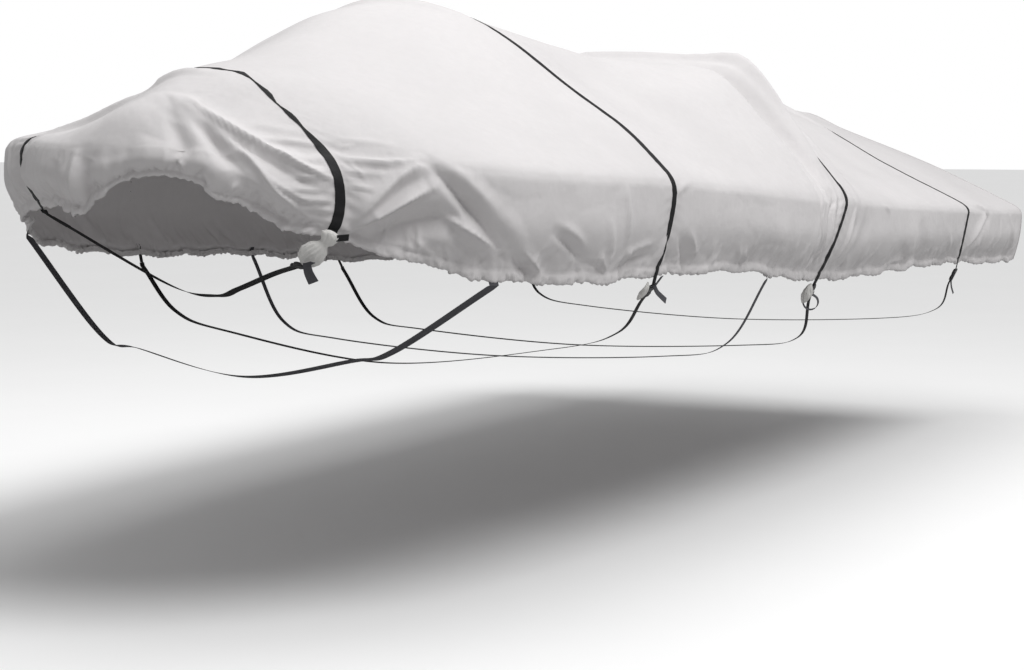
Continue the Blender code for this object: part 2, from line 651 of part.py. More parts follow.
def line_sections(points, width, across):
    """Ribbon sections along free points; across is the way the strap's width lies."""
    out = []
    for k, point in enumerate(points):
        ahead = points[min(k + 1, len(points) - 1)] - points[max(k - 1, 0)]
        side = (across - ahead * (across.dot(ahead) / ahead.length_squared)).normalized() * (width / 2)
        out.append((point - side, point + side, ahead.cross(side)))
    return out


def foot_end(sections):
    """Middle of a strap's last section, the way it runs there and its face."""
    a, b = sections[-2], sections[-1]
    middle = (b[0] + b[1]) / 2
    return middle, (middle - (a[0] + a[1]) / 2).normalized(), b[2].normalized()


def make_cover(sheet, mat):
    cover = place("cover", sheet.mesh.copy(), mat)
    wall = cover.modifiers.new("cloth", "SOLIDIFY")
    wall.thickness = CLOTH_THICKNESS
    wall.offset = -1.0
    return cover


def make_deck_strap(strap, sheet, mat):
    """Webbing sewn over the boat; gives back its port and lee feet."""
    rows = sheet.path(sheet.first[strap.station], sheet.low, sheet.low)
    sections = strip_sections(rows, SEWN_GAP + WEBBING / 2)
    sections = [carried_on(sections[0], sections[1], strap.foot)] + sections
    sections.append(carried_on(sections[-1], sections[-2], strap.lee_foot))
    ribbon(strap.name, sections, mat)
    return foot_end(sections[1::-1]), foot_end(sections[-2:])


def hem_foot(sheet, station, side):
    """Where a tie leaves the inside of the hem: its two top sections, drawn against the cloth."""
    i = sheet.first[station]
    rows = [sheet.strip_row(side, i, sheet.low + 1), sheet.strip_row(side, i, sheet.low)]
    return strip_sections(rows, -(CLOTH_THICKNESS + SEWN_GAP + WEBBING / 2))


def hull_points(tie, port, lee):
    """The points that a tie bends round below the hull, port side first."""
    def on_hull(x, height, end):
        shift = tie.keel_shift * (1 - abs(x) / max(abs(end.x), 0.01))
        return to_part((x, tie.station + shift, height))
    return [
        on_hull(tie.chine_x, tie.chine_h, port),
        on_hull(tie.bilge_x, tie.bilge_h, port),
        to_part((0.0, tie.station + tie.keel_shift, tie.keel_h)),
        on_hull(-tie.bilge_x, tie.bilge_h, lee),
        on_hull(-tie.lee_x, tie.lee_h, lee),
    ]


def make_plain_tie(tie, sheet, mat):
    """A tie whose two ends are sewn inside the hem."""
    port = hem_foot(sheet, tie.station, 1)
    lee = hem_foot(sheet, tie.station, -1)
    start = carried_on(port[1], port[0], TIE_LEAD)
    end = carried_on(lee[1], lee[0], TIE_LEAD)
    first = (start[0] + start[1]) / 2
    last = (end[0] + end[1]) / 2
    middle = smooth_line([first] + hull_points(tie, first, last) + [last], 4)[1:-1]
    sections = line_sections([first] + middle + [last], tie.width - 2 * STRAP_INSET, AFT)[1:-1]
    turned = [(b, a, face) for a, b, face in lee]
    ribbon(tie.name, port + [start] + sections + [(end[1], end[0], end[2])] + turned[::-1], mat)


def make_buckle(name, middle, along, face, mat):
    """A side-release buckle: a rounded body with a waist, extruded through its thickness."""
    across = along.cross(face).normalized()
    mesh = bmesh.new()
    rim = [mesh.verts.new(middle + along * (BUCKLE_LENGTH * u) + across * (BUCKLE_WIDTH * v)
                          - face * (BUCKLE_DEPTH / 2)) for u, v in BUCKLE_OUTLINE]
    bottom = mesh.faces.new(rim)
    top = bmesh.ops.extrude_face_region(mesh, geom=[bottom])
    moved = [v for v in top["geom"] if isinstance(v, bmesh.types.BMVert)]
    bmesh.ops.translate(mesh, vec=face * BUCKLE_DEPTH, verts=moved)
    return place(name, mesh, mat)


def make_gather(name, start, first_way, then_way, face, mat):
    """The slack end of the hem, drawn up into a two-lobed bundle of cloth."""
    bend = start + first_way * GATHER_BEND
    ways = [start, bend, bend + then_way * (0.5 * GATHER_LENGTH), bend + then_way * GATHER_LENGTH]
    line = smooth_line(ways, GATHER_RINGS // 3)
    mesh = bmesh.new()
    rings = []
    for k, centre in enumerate(line):
        u = k / (len(line) - 1)
        swell = through(column(GATHER, "way"), column(GATHER, "radius"), u)
        along = first_way if k == 0 else (line[min(k + 1, len(line) - 1)] - line[k - 1]).normalized()
        across = along.cross(face).normalized()
        up = across.cross(along)
        ring = []
        for m in range(GATHER_SIDES):
            angle = 2 * math.pi * m / GATHER_SIDES
            radius = swell * (1 + PLEAT * math.sin(5 * angle + 3 * u))
            ring.append(mesh.verts.new(centre + across * (radius * math.cos(angle))
                                       + up * (GATHER_FLAT * radius * math.sin(angle))))
        rings.append(ring)
    for a, b in zip(rings, rings[1:]):
        for m in range(GATHER_SIDES):
            mesh.faces.new([a[m], a[(m + 1) % GATHER_SIDES], b[(m + 1) % GATHER_SIDES], b[m]])
    mesh.faces.new(rings[0][::-1])
    mesh.faces.new(rings[-1])
    end = line[-1]
    return place(name, mesh, mat), end, (line[-1] - line[-2]).normalized()


def make_tail(tie, middle, along, face, mat):
    """The free end of the tie, lying over its buckle and hanging past it."""
    across = along.cross(face).normalized()
    start = middle + face * (BUCKLE_DEPTH / 2 + SEWN_GAP + WEBBING / 2)
    shape = next(row for row in TAILS if row.tie == tie.name)
    line = [start + along * reach for reach in TAIL_LIES]
    for share in (0.4, 0.7, 1.0):
        drift = face * shape.lift + AFT * shape.aft
        line.append(line[2] + along * TAIL_PAST + DOWN * (share * shape.length) + drift * share**1.5)
    ribbon(tie.name + "_tail", line_sections(line, tie.width - TAIL_NARROWER, across), mat)


def make_buckled_tie(tie, sheet, feet, mats):
    """A tie that starts at the lee foot of the deck webbing and ends in a buckle at its port foot."""
    (port, way, face), (lee, lee_way, _) = feet
    if tie.name == "bow_tie":
        gather_way = (to_part(GATHER_TO) - port).normalized()
        start = port + way * BUTT_GAP
        _, port, way = make_gather("hem_gather", start, way, gather_way, face, mats["gather"])
    face = way.cross(AFT).normalized()
    centre = port + way * (BUTT_GAP + BUCKLE_LENGTH / 2)
    make_buckle(tie.name + "_buckle", centre, way, face, mats["plastic"])
    make_tail(tie, centre, way, face, mats["webbing"])
    first = port + way * (2 * BUTT_GAP + BUCKLE_LENGTH)
    last = lee + lee_way * BUTT_GAP
    ways = [first + way * TIE_LEAD] + hull_points(tie, first, last) + [last + lee_way * TIE_LEAD]
    curve = smooth_line(ways, 4)
    ribbon(tie.name, line_sections([first] + curve + [last], tie.width, AFT), mats["webbing"])


def main():
    for obj in list(bpy.data.objects):
        bpy.data.objects.remove(obj, do_unlink=True)
    mats = {
        "cloth": material("cloth", COVER_COLOUR, 0.85),
        "webbing": material("webbing", WEBBING_COLOUR, 0.7),
        "plastic": material("plastic", PLASTIC_COLOUR, 0.4),
        "gather": material("gather", GATHER_COLOUR, 0.8),
    }
    sheet = Sheet()
    make_cover(sheet, mats["cloth"])
    feet = {strap.station: make_deck_strap(strap, sheet, mats["webbing"]) for strap in DECK_STRAPS}
    for tie in TIES:
        if tie.buckled:
            make_buckled_tie(tie, sheet, feet[tie.station], mats)
        else:
            make_plain_tie(tie, sheet, mats["webbing"])


main()
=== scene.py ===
"""Boat cover: the looks of a fitted cover for a small open boat.

Run it as a script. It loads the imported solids, then models the cloth with its folds, puckers and
gathered hem, the stitched webbing, the tie-downs with their buckles and free ends, and the stage.

Bow towards -Y, port side towards +X, +Z up, metres. In the tables a station is the distance aft of
the bow, a height is above the ground below the trailer, and "lee" is the starboard side.
"""
import math
import random
from collections import namedtuple

import bmesh
import bpy
import numpy as np
from bpy.props import FloatProperty, FloatVectorProperty, IntProperty, PointerProperty
from mathutils import Matrix, Vector, noise


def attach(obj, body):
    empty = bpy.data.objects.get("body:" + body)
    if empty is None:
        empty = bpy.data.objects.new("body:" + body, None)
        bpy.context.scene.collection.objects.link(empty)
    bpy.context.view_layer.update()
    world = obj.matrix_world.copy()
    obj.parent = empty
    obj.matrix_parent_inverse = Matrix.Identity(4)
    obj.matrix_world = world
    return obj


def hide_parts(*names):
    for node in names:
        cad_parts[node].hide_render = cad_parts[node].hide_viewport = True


bl_info = {
    "name": "Boat Cover",
    "version": (1, 0, 0),
    "blender": (4, 5, 0),
    "location": "View3D > Sidebar > Boat Cover",
    "description": "Cloth, webbing, buckles and stage of a fitted boat cover",
    "category": "Object",
}

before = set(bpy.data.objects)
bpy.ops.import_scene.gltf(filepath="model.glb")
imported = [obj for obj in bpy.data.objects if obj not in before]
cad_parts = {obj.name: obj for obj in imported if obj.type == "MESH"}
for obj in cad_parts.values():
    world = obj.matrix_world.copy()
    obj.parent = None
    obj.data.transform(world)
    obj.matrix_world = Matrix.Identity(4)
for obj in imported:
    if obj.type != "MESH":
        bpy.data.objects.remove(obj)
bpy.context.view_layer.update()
BODY = "root"

# ---------------------------------------------------------------- shared sizes
PEAK_STATION = 1.50
PEAK_HEIGHT = 1.768
UNDER_CLOTH = 0.0035          # from the top of the cloth at the peak to the held point below it
SIDE_ROUND = 0.030            # radius of the rim's rounded edge along the sides
NOSE_ROUND = 0.120            # and at the nose,
NOSE_ROUND_END = 0.90         # which fades into the sides at this distance along the rim
ROUNDING = 0.13               # share of that radius cut off the corner
RIM_SOFT = 0.055              # the cloth relaxes across the rim within about this distance
RIM_ROUNDS = 11               # and this many times
SPINE_START = 0.15            # nose rows run together along the middle from this station
SPINE_FREE = 0.31             # aft of this station every row runs straight across the boat
NOSE_RATE = 0.05              # how fast the nose rows leave that start
TRANSOM_ARCH = 0.30           # the back panel's hem rises by this much around the engine
TRANSOM_ARCH_HALF = 0.42      # half width of that arch
BACK_BULGE = 0.030            # the back panel stands out by this much half way down
BACK_TUCK = 0.050             # and its hem is drawn in by this much

# Plan and height of the deck's edge, nose to stern corner; on the lee side it is drawn in by lee_in.
Rim = namedtuple("Rim", "half_beam station height lee_lift lee_in")
RIM = [Rim(*row) for row in (
    (0.000, 0.000, 1.330, 0.000, 0.000),
    (0.170, 0.035, 1.330, 0.005, 0.020),
    (0.340, 0.150, 1.322, 0.012, 0.048),
    (0.500, 0.335, 1.311, 0.024, 0.004),
    (0.635, 0.450, 1.297, 0.038, -0.010),
    (0.785, 0.580, 1.269, 0.053, 0.000),
    (0.890, 0.740, 1.254, 0.041, 0.000),
    (0.960, 0.970, 1.241, 0.024, 0.000),
    (1.005, 1.280, 1.228, 0.004, 0.000),
    (1.035, 1.600, 1.208, 0.000, 0.000),
    (1.070, 1.950, 1.184, 0.000, 0.000),
    (1.095, 2.840, 1.126, 0.000, 0.000),
    (1.103, 4.400, 1.042, 0.000, 0.000),
    (1.085, 5.340, 1.008, 0.000, 0.000),
)]

# Shape across the boat: the ridge, a shoulder at a share of the way out, and the flank half way
# between shoulder and rim. crown moves the ridge to port and sag lowers the lee side.
Section = namedtuple("Section", "station crown ridge share shoulder flank sag")
SECTIONS = [Section(*row) for row in (
    (0.00, 0.00, 1.335, 0.33, 1.335, 1.333, 0.000),
    (0.06, 0.06, 1.400, 0.33, 1.385, 1.358, 0.010),
    (0.18, 0.11, 1.460, 0.33, 1.442, 1.385, 0.035),
    (0.35, 0.12, 1.527, 0.33, 1.512, 1.420, 0.060),
    (0.62, 0.08, 1.565, 0.28, 1.535, 1.420, 0.050),
    (0.90, 0.04, 1.640, 0.22, 1.600, 1.435, 0.035),
    (1.20, 0.00, 1.728, 0.20, 1.690, 1.465, 0.020),
    (1.50, 0.00, 1.768, 0.24, 1.722, 1.465, 0.000),
    (1.75, 0.00, 1.750, 0.28, 1.685, 1.440, 0.000),
    (2.00, 0.00, 1.690, 0.38, 1.628, 1.415, 0.000),
    (2.25, 0.00, 1.640, 0.48, 1.588, 1.390, 0.000),
    (2.60, 0.00, 1.615, 0.56, 1.586, 1.385, 0.000),
    (2.90, 0.00, 1.638, 0.58, 1.606, 1.375, 0.000),
    (3.20, 0.00, 1.622, 0.46, 1.535, 1.315, 0.000),
    (3.70, 0.00, 1.590, 0.36, 1.485, 1.265, 0.000),
    (4.40, 0.00, 1.550, 0.30, 1.435, 1.235, 0.000),
    (5.00, 0.00, 1.480, 0.25, 1.390, 1.215, 0.000),
    (5.34, 0.00, 1.458, 0.20, 1.375, 1.208, 0.000),
)]

# The skirt below the rim, by the distance along the rim from the nose. bulge is how far the middle
# stands out, tuck how far the elastic draws the hem in, and sweep how far the hem is pulled aft.
Skirt = namedtuple("Skirt", "along depth bulge tuck sweep")
SKIRT_PORT = [Skirt(*row) for row in (
    (0.00, 0.150, 0.000, 0.035, 0.00),
    (0.10, 0.110, 0.000, 0.030, 0.00),
    (0.20, 0.088, 0.004, 0.025, 0.00),
    (0.27, 0.092, 0.006, 0.025, 0.00),
    (0.31, 0.106, 0.008, 0.025, 0.00),
    (0.35, 0.146, 0.010, 0.022, 0.00),
    (0.44, 0.166, 0.012, 0.020, 0.00),
    (0.54, 0.215, 0.024, -0.010, 0.00),
    (0.64, 0.236, 0.040, -0.030, 0.01),
    (0.76, 0.260, 0.022, 0.000, 0.01),
    (0.94, 0.290, 0.012, 0.030, 0.00),
    (1.20, 0.312, 0.014, 0.038, 0.00),
    (1.50, 0.314, 0.016, 0.036, 0.00),
    (1.93, 0.291, 0.010, 0.034, -0.045),
    (2.45, 0.274, 0.016, 0.034, 0.00),
    (2.90, 0.288, 0.016, 0.038, -0.05),
    (3.37, 0.292, 0.006, 0.066, -0.13),
    (3.75, 0.276, 0.018, 0.040, -0.04),
    (4.33, 0.246, 0.016, 0.036, 0.00),
    (4.87, 0.234, 0.004, 0.050, -0.03),
    (5.30, 0.240, 0.014, 0.036, 0.00),
    (5.81, 0.240, 0.004, 0.030, 0.00),
)]
SKIRT_LEE = [Skirt(*row) for row in (
    (0.00, 0.150, 0.000, 0.035, 0.00),
    (0.05, 0.198, 0.004, 0.035, 0.00),
    (0.20, 0.175, 0.008, 0.030, 0.00),
    (0.62, 0.195, 0.010, 0.036, 0.00),
    (1.00, 0.235, 0.012, 0.045, 0.00),
    (1.30, 0.285, 0.014, 0.045, 0.00),
    (1.90, 0.286, 0.010, 0.038, 0.00),
    (2.60, 0.272, 0.016, 0.036, 0.00),
    (3.37, 0.286, 0.008, 0.052, -0.06),
    (4.10, 0.256, 0.018, 0.038, 0.00),
    (4.87, 0.240, 0.006, 0.046, 0.00),
    (5.81, 0.240, 0.004, 0.030, 0.00),
)]

# Creases: ridges (height above 0) and troughs (below 0) from a start to an end point. along is the
# distance round the rim, negative on the lee side; out is how far in from the rim on the deck, and
# negative down the skirt. bow bends the crease sideways half way, edge is 1 for a soft swell and
# towards 0 for a sharp crest. lean makes one flank steeper: above 0 the one on the right of its way.
Crease = namedtuple("Crease", "along_1 out_1 along_2 out_2 bow width height edge lean", defaults=(0.0,))
BOW, FRONT, MIDDLE, STERN = 0.640, 1.934, 3.332, 4.892   # where the webbing crosses the rim
CREASES = [Crease(*row) for row in (
    # the nose: hollows where the cloth turns from the blunt front to the side
    (0.285, 0.065, 0.255, -0.060, 0.000, 0.042, -0.013, 0.8),
    (0.340, 0.080, 0.400, -0.085, 0.004, 0.036, -0.009, 0.8),
    (0.320, 0.140, 0.400, 0.100, 0.000, 0.085, 0.009, 1.0),
    (0.190, 0.020, 0.170, -0.060, 0.000, 0.060, 0.006, 1.0),
    (0.225, -0.010, 0.215, -0.075, 0.004, 0.020, 0.004, 0.5),
    (-0.040, -0.030, -0.075, -0.170, 0.006, 0.030, 0.011, 0.5),
    (0.010, -0.040, -0.020, -0.130, 0.000, 0.034, -0.010, 0.7),
    (-0.120, -0.050, -0.150, -0.165, 0.000, 0.045, -0.007, 0.8),
    (0.060, -0.060, 0.045, -0.130, 0.000, 0.022, 0.004, 0.6),
    (0.110, -0.050, 0.120, -0.095, 0.000, 0.016, -0.003, 0.6),
    # drawn from the nose's corner to the foot of the bow webbing
    (0.372, 0.075, 0.380, -0.075, -0.014, 0.036, -0.014, 0.60),
    (0.385, 0.118, 0.625, -0.085, -0.028, 0.036, 0.019, 0.15, 0.60),
    (0.400, 0.050, 0.620, -0.125, -0.028, 0.024, -0.009, 0.60),
    (0.430, 0.046, 0.590, -0.070, -0.020, 0.012, 0.005, 0.10, 0.50),
    (0.440, -0.060, 0.600, -0.160, -0.012, 0.014, 0.006, 0.10, 0.50),
    (0.470, -0.100, 0.560, -0.150, -0.006, 0.010, -0.004, 0.30),
    (0.402, 0.009, 0.618, -0.213, -0.030, 0.036, 0.016, 0.25, 0.50),
    (0.385, -0.040, 0.590, -0.235, -0.026, 0.030, -0.011, 0.60),
    (0.393, -0.075, 0.506, -0.140, 0.000, 0.030, 0.011, 0.50, 0.30),
    (0.430, -0.120, 0.620, -0.250, -0.006, 0.022, 0.007, 0.40, 0.30),
    (0.410, 0.036, 0.460, -0.026, 0.010, 0.014, 0.006, 0.25, 0.40),
    (0.479, 0.017, 0.650, 0.006, 0.003, 0.022, 0.006, 0.30, 0.50),
    (0.470, 0.060, 0.630, 0.034, 0.003, 0.020, 0.003, 0.40, 0.50),
    (0.500, -0.084, 0.625, -0.078, 0.000, 0.016, 0.006, 0.20, 0.40),
    (0.530, -0.040, 0.630, -0.050, 0.000, 0.014, -0.004, 0.40),
    (0.507, -0.111, 0.625, -0.116, 0.000, 0.015, 0.006, 0.20, 0.40),
    (0.529, -0.136, 0.625, -0.144, 0.000, 0.014, 0.006, 0.20, 0.40),
    (0.548, -0.161, 0.630, -0.170, 0.000, 0.014, 0.006, 0.20, 0.40),
    (0.565, -0.186, 0.632, -0.196, 0.000, 0.012, 0.004, 0.20, 0.40),
    # aft of the bow webbing: two long pleats to its foot with a deep hollow below, finer ones above
    (0.918, -0.014, 0.674, -0.200, -0.018, 0.042, 0.017, 0.30, -0.35),
    (0.905, -0.050, 0.690, -0.190, -0.010, 0.030, -0.010, 0.60),
    (0.925, -0.080, 0.680, -0.218, -0.005, 0.056, 0.030, 0.15, -0.66),
    (1.020, -0.135, 0.730, -0.240, -0.010, 0.066, -0.036, 0.70),
    (0.668, -0.020, 0.920, 0.007, -0.019, 0.018, 0.006, 0.20, 0.40),
    (0.660, -0.040, 0.860, -0.030, -0.010, 0.016, -0.004, 0.40),
    (0.654, -0.060, 0.780, -0.062, 0.000, 0.015, 0.006, 0.20, 0.40),
    (0.656, -0.095, 0.740, -0.104, 0.000, 0.014, 0.005, 0.20, 0.40),
    (0.681, -0.022, 0.722, -0.078, 0.000, 0.010, 0.004, 0.20),
    (0.692, 0.005, 0.737, 0.019, 0.000, 0.010, 0.004, 0.20),
    (0.700, 0.030, 0.860, 0.040, 0.000, 0.020, 0.003, 0.50),
    (0.921, -0.014, 1.145, -0.242, 0.004, 0.044, -0.024, 0.40, 0.20),
    (0.960, -0.010, 1.120, -0.130, 0.006, 0.040, 0.009, 0.60),
    (0.945, -0.146, 1.160, -0.246, 0.005, 0.030, 0.016, 0.25, 0.40),
    (0.980, -0.196, 1.100, -0.262, 0.000, 0.026, -0.010, 0.60),
    (0.980, -0.140, 1.175, -0.268, 0.012, 0.020, -0.007, 0.50),
    (0.760, -0.235, 0.930, -0.262, 0.004, 0.016, 0.005, 0.40),
    (0.860, -0.210, 0.960, -0.270, -0.006, 0.018, 0.005, 0.40),
    (1.130, -0.120, 1.200, -0.220, 0.000, 0.040, 0.006, 0.90),
    (1.205, -0.226, 1.325, -0.300, -0.003, 0.030, 0.015, 0.25, 0.40),
    (1.165, -0.235, 1.270, -0.300, -0.003, 0.028, -0.010, 0.60),
    # short wrinkles at the hem on both sides of the front webbing
    (1.312, -0.176, 1.476, -0.267, 0.006, 0.028, -0.013, 0.50, 0.40),
    (1.325, -0.150, 1.450, -0.215, 0.006, 0.024, 0.009, 0.40, 0.30),
    (1.534, -0.234, 1.605, -0.296, 0.000, 0.020, 0.009, 0.30, 0.30),
    (1.480, -0.255, 1.580, -0.285, 0.004, 0.016, -0.006, 0.50),
    (1.560, -0.140, 1.600, -0.275, 0.000, 0.030, 0.008, 0.50),
    (1.642, -0.020, 1.677, -0.215, 0.000, 0.026, 0.007, 0.60, 0.30),
    (1.714, -0.215, 1.717, -0.277, 0.000, 0.018, 0.009, 0.30),
    (1.684, -0.280, 1.860, -0.236, 0.006, 0.026, -0.011, 0.50, 0.40),
    (1.690, -0.240, 1.840, -0.200, 0.006, 0.020, 0.008, 0.30, 0.40),
    (1.924, -0.165, 1.913, -0.258, 0.000, 0.022, 0.009, 0.30, 0.30),
    (2.044, -0.001, 1.950, -0.045, 0.000, 0.016, 0.006, 0.30, 0.30),
    (2.001, -0.176, 2.114, -0.265, 0.003, 0.030, -0.012, 0.50, 0.30),
    (2.050, -0.160, 2.150, -0.245, 0.003, 0.022, 0.008, 0.30, 0.30),
    (2.266, -0.225, 2.225, -0.265, 0.000, 0.020, 0.007, 0.40),
    (2.420, -0.205, 2.480, -0.265, 0.000, 0.020, 0.007, 0.40),
    (2.640, -0.190, 2.600, -0.262, 0.000, 0.024, -0.006, 0.60),
    (2.820, -0.150, 2.870, -0.262, 0.000, 0.030, 0.006, 0.60),
    # the wide hollow between the two rises, and the pleats drawn down to the middle webbing
    (2.140, 0.565, 3.200, 0.400, 0.020, 0.170, -0.018, 1.0),
    (2.250, 0.480, 3.100, 0.330, 0.010, 0.090, 0.005, 1.0),
    (MIDDLE - 0.040, 1.50, MIDDLE - 0.040, 0.300, 0.000, 0.048, 0.019, 0.75, 0.20),
    (MIDDLE - 0.016, 0.60, 3.232, 0.030, 0.006, 0.066, 0.028, 0.60, 0.10),
    (3.205, 0.64, 3.185, 0.020, 0.000, 0.062, -0.036, 0.60, -0.25),
    (3.250, 0.160, 3.226, -0.060, 0.000, 0.024, -0.010, 0.30, -0.40),
    (3.165, 0.200, 3.106, -0.070, 0.000, 0.018, -0.008, 0.20, -0.40),
    (MIDDLE + 0.020, 0.92, MIDDLE + 0.020, 0.060, 0.000, 0.034, -0.012, 0.70),
    (MIDDLE + 0.130, 0.50, MIDDLE + 0.110, 0.010, -0.004, 0.050, 0.010, 0.70),
    (3.560, 0.400, 3.520, 0.050, -0.004, 0.030, -0.004, 0.70),
    (3.100, 0.100, 3.235, -0.245, -0.070, 0.036, -0.014, 0.35, -0.40),
    (3.150, 0.060, 3.250, -0.230, -0.040, 0.034, 0.011, 0.25, 0.40),
    (3.212, 0.040, 3.270, -0.250, -0.030, 0.110, -0.018, 0.85, -0.15),
    (3.204, 0.060, 3.290, -0.240, -0.040, 0.028, -0.013, 0.20, -0.40),
    (3.231, 0.040, 3.290, -0.180, -0.008, 0.018, 0.006, 0.15, 0.45),
    (3.262, 0.030, 3.316, -0.215, 0.000, 0.022, -0.010, 0.20, -0.30),
    (3.060, -0.120, 3.020, -0.245, 0.000, 0.030, -0.007, 0.60),
    (3.376, 0.009, 3.424, -0.026, 0.000, 0.018, 0.006, 0.30),
    (3.430, -0.020, 3.415, -0.260, 0.004, 0.030, 0.010, 0.40, 0.40),
    (3.480, -0.080, 3.460, -0.262, 0.000, 0.022, -0.008, 0.50),
    (3.560, -0.060, 3.520, -0.240, 0.000, 0.050, -0.007, 0.90),
    (3.706, -0.018, 3.765, -0.040, 0.000, 0.020, 0.006, 0.30, 0.30),
    # swells forward of the webbing, which is drawn down into the cloth over the deck's top
    (FRONT - 0.045, 0.70, FRONT - 0.045, 1.20, 0.000, 0.050, 0.016, 0.80),
    (-FRONT + 0.045, 0.70, -FRONT + 0.045, 1.20, 0.000, 0.050, 0.016, 0.80),
    (-BOW + 0.055, 0.05, -BOW + 0.055, 0.42, 0.000, 0.050, 0.015, 0.80),
    (BOW - 0.050, 0.30, BOW - 0.050, 0.56, 0.000, 0.045, 0.011, 0.80),
    (-BOW, 0.04, -BOW, 0.42, 0.000, 0.034, -0.008, 0.80),
    (-MIDDLE + 0.045, 0.10, -MIDDLE + 0.045, 1.10, 0.000, 0.046, 0.018, 0.70),
    (STERN - 0.040, 0.62, STERN - 0.040, 1.20, 0.000, 0.044, 0.014, 0.80),
    # the aft side and the stern corner
    (3.950, -0.170, 4.100, -0.240, 0.000, 0.034, -0.006, 0.7),
    (4.150, -0.060, 4.230, -0.230, 0.000, 0.080, -0.009, 1.0),
    (4.560, -0.120, 4.720, -0.225, 0.004, 0.030, 0.006, 0.6),
    (3.861, -0.251, 4.051, -0.221, 0.000, 0.024, 0.008, 0.4, 0.4),
    (4.990, 0.022, 5.181, -0.003, 0.000, 0.024, 0.009, 0.3, 0.4),
    (5.181, -0.003, 4.916, -0.196, 0.000, 0.030, 0.013, 0.3, -0.4),
    (5.220, -0.020, 5.000, -0.205, 0.000, 0.030, -0.010, 0.6),
    (5.150, 0.030, 5.150, -0.190, 0.004, 0.036, -0.009, 0.7),
    (5.400, -0.030, 5.300, -0.200, 0.006, 0.030, -0.006, 0.7),
    (5.560, -0.020, 5.640, -0.220, 0.000, 0.040, 0.012, 0.4, 0.3),
    (5.700, -0.030, 5.660, -0.215, 0.004, 0.026, -0.007, 0.6),
    # the lee side
    (-0.520, -0.020, -0.610, -0.180, 0.004, 0.034, 0.009, 0.6),
    (-0.720, 0.000, -0.690, -0.180, 0.004, 0.034, 0.009, 0.6),
    (-0.900, -0.020, -0.720, -0.200, 0.008, 0.040, -0.010, 0.7),
    (-0.840, -0.010, -0.710, -0.190, 0.008, 0.030, 0.011, 0.45),
    (-1.150, -0.100, -1.300, -0.250, 0.006, 0.050, 0.010, 0.6),
    (-1.600, -0.120, -1.700, -0.260, 0.006, 0.050, -0.010, 0.7),
    (-1.900, -0.080, -1.850, -0.250, 0.000, 0.026, 0.007, 0.5),
    (-2.050, -0.140, -2.110, -0.250, 0.000, 0.030, -0.008, 0.6),
    (-2.140, 0.565, -3.200, 0.400, 0.020, 0.170, -0.014, 1.0),
    (-2.500, -0.150, -2.600, -0.250, 0.004, 0.034, 0.007, 0.6),
    (-3.290, 0.500, -3.250, 0.000, 0.004, 0.040, 0.012, 0.5),
    (-3.380, 0.500, -3.360, 0.050, 0.000, 0.045, -0.012, 0.7),
    (-3.460, 0.420, -3.440, 0.010, 0.000, 0.050, 0.010, 0.7),
    (-3.170, -0.010, -3.080, -0.235, 0.006, 0.034, -0.008, 0.6),
    (-3.260, -0.010, -3.190, -0.240, 0.006, 0.026, 0.009, 0.45),
    (-3.450, -0.030, -3.440, -0.240, 0.004, 0.026, 0.007, 0.5),
    (-4.300, -0.050, -4.220, -0.230, 0.000, 0.080, 0.009, 1.0),
    (-4.980, 0.020, -4.990, -0.180, 0.000, 0.026, 0.007, 0.5),
    (-5.250, 0.040, -5.180, -0.200, 0.004, 0.050, -0.008, 0.7),
    (-5.600, -0.020, -5.650, -0.210, 0.004, 0.040, 0.008, 0.6),
)]

# Wrinkles along a stretch of the hem: from and to along the rim, how far apart they are, their lengths,
# heights and widths, each from and to.
Wrinkles = namedtuple("Wrinkles", "start end apart length height width")
WRINKLES = [
    Wrinkles(-0.12, 0.60, (0.013, 0.030), (0.022, 0.050), (0.0035, 0.0080), (0.007, 0.013)),
    Wrinkles(0.72, 5.65, (0.025, 0.085), (0.050, 0.120), (0.003, 0.008), (0.012, 0.024)),
    Wrinkles(-0.60, -0.12, (0.015, 0.040), (0.030, 0.070), (0.003, 0.007), (0.009, 0.016)),
    Wrinkles(-5.65, -0.72, (0.025, 0.085), (0.050, 0.120), (0.003, 0.008), (0.012, 0.024)),
]
WRINKLE_SEED = 11
WRINKLE_SLANT = 0.75          # how far a wrinkle leans aside, as a share of its length
WRINKLE_LEAN = (0.2, 0.5)     # how much steeper its lower flank is, from and to
WRINKLE_EDGE = 0.25           # how soft its crest is
WRINKLE_FOOT = 0.95           # share of the way down the skirt where it ends
WRINKLES_CLEAR = 0.05         # none start this near the middle of the webbing


def hem_wrinkles():
    """Short slanting creases that the elastic draws up along the hem, between the strips of webbing."""
    chance = random.Random(WRINKLE_SEED)
    rows = []
    for row in WRINKLES:
        along = row.start
        while along < row.end:
            along += chance.uniform(*row.apart)
            length = chance.uniform(*row.length)
            slant = length * chance.uniform(-WRINKLE_SLANT, WRINKLE_SLANT)
            height = chance.uniform(*row.height) * chance.choice((-1, 1, 1))
            lean = math.copysign(chance.uniform(*WRINKLE_LEAN), height * along)
            width = chance.uniform(*row.width)
            if min(abs(abs(along) - strip) for strip in (BOW, FRONT, MIDDLE, STERN)) < WRINKLES_CLEAR:
                continue
            table = SKIRT_PORT if along > 0 else SKIRT_LEE
            depth = float(np.interp(abs(along), [at.along for at in table], [at.depth for at in table]))
            rows.append(Crease(along + slant, length - depth, along, -WRINKLE_FOOT * depth, 0.0, width,
                               height, WRINKLE_EDGE, lean))
    return rows


CREASES += hem_wrinkles()

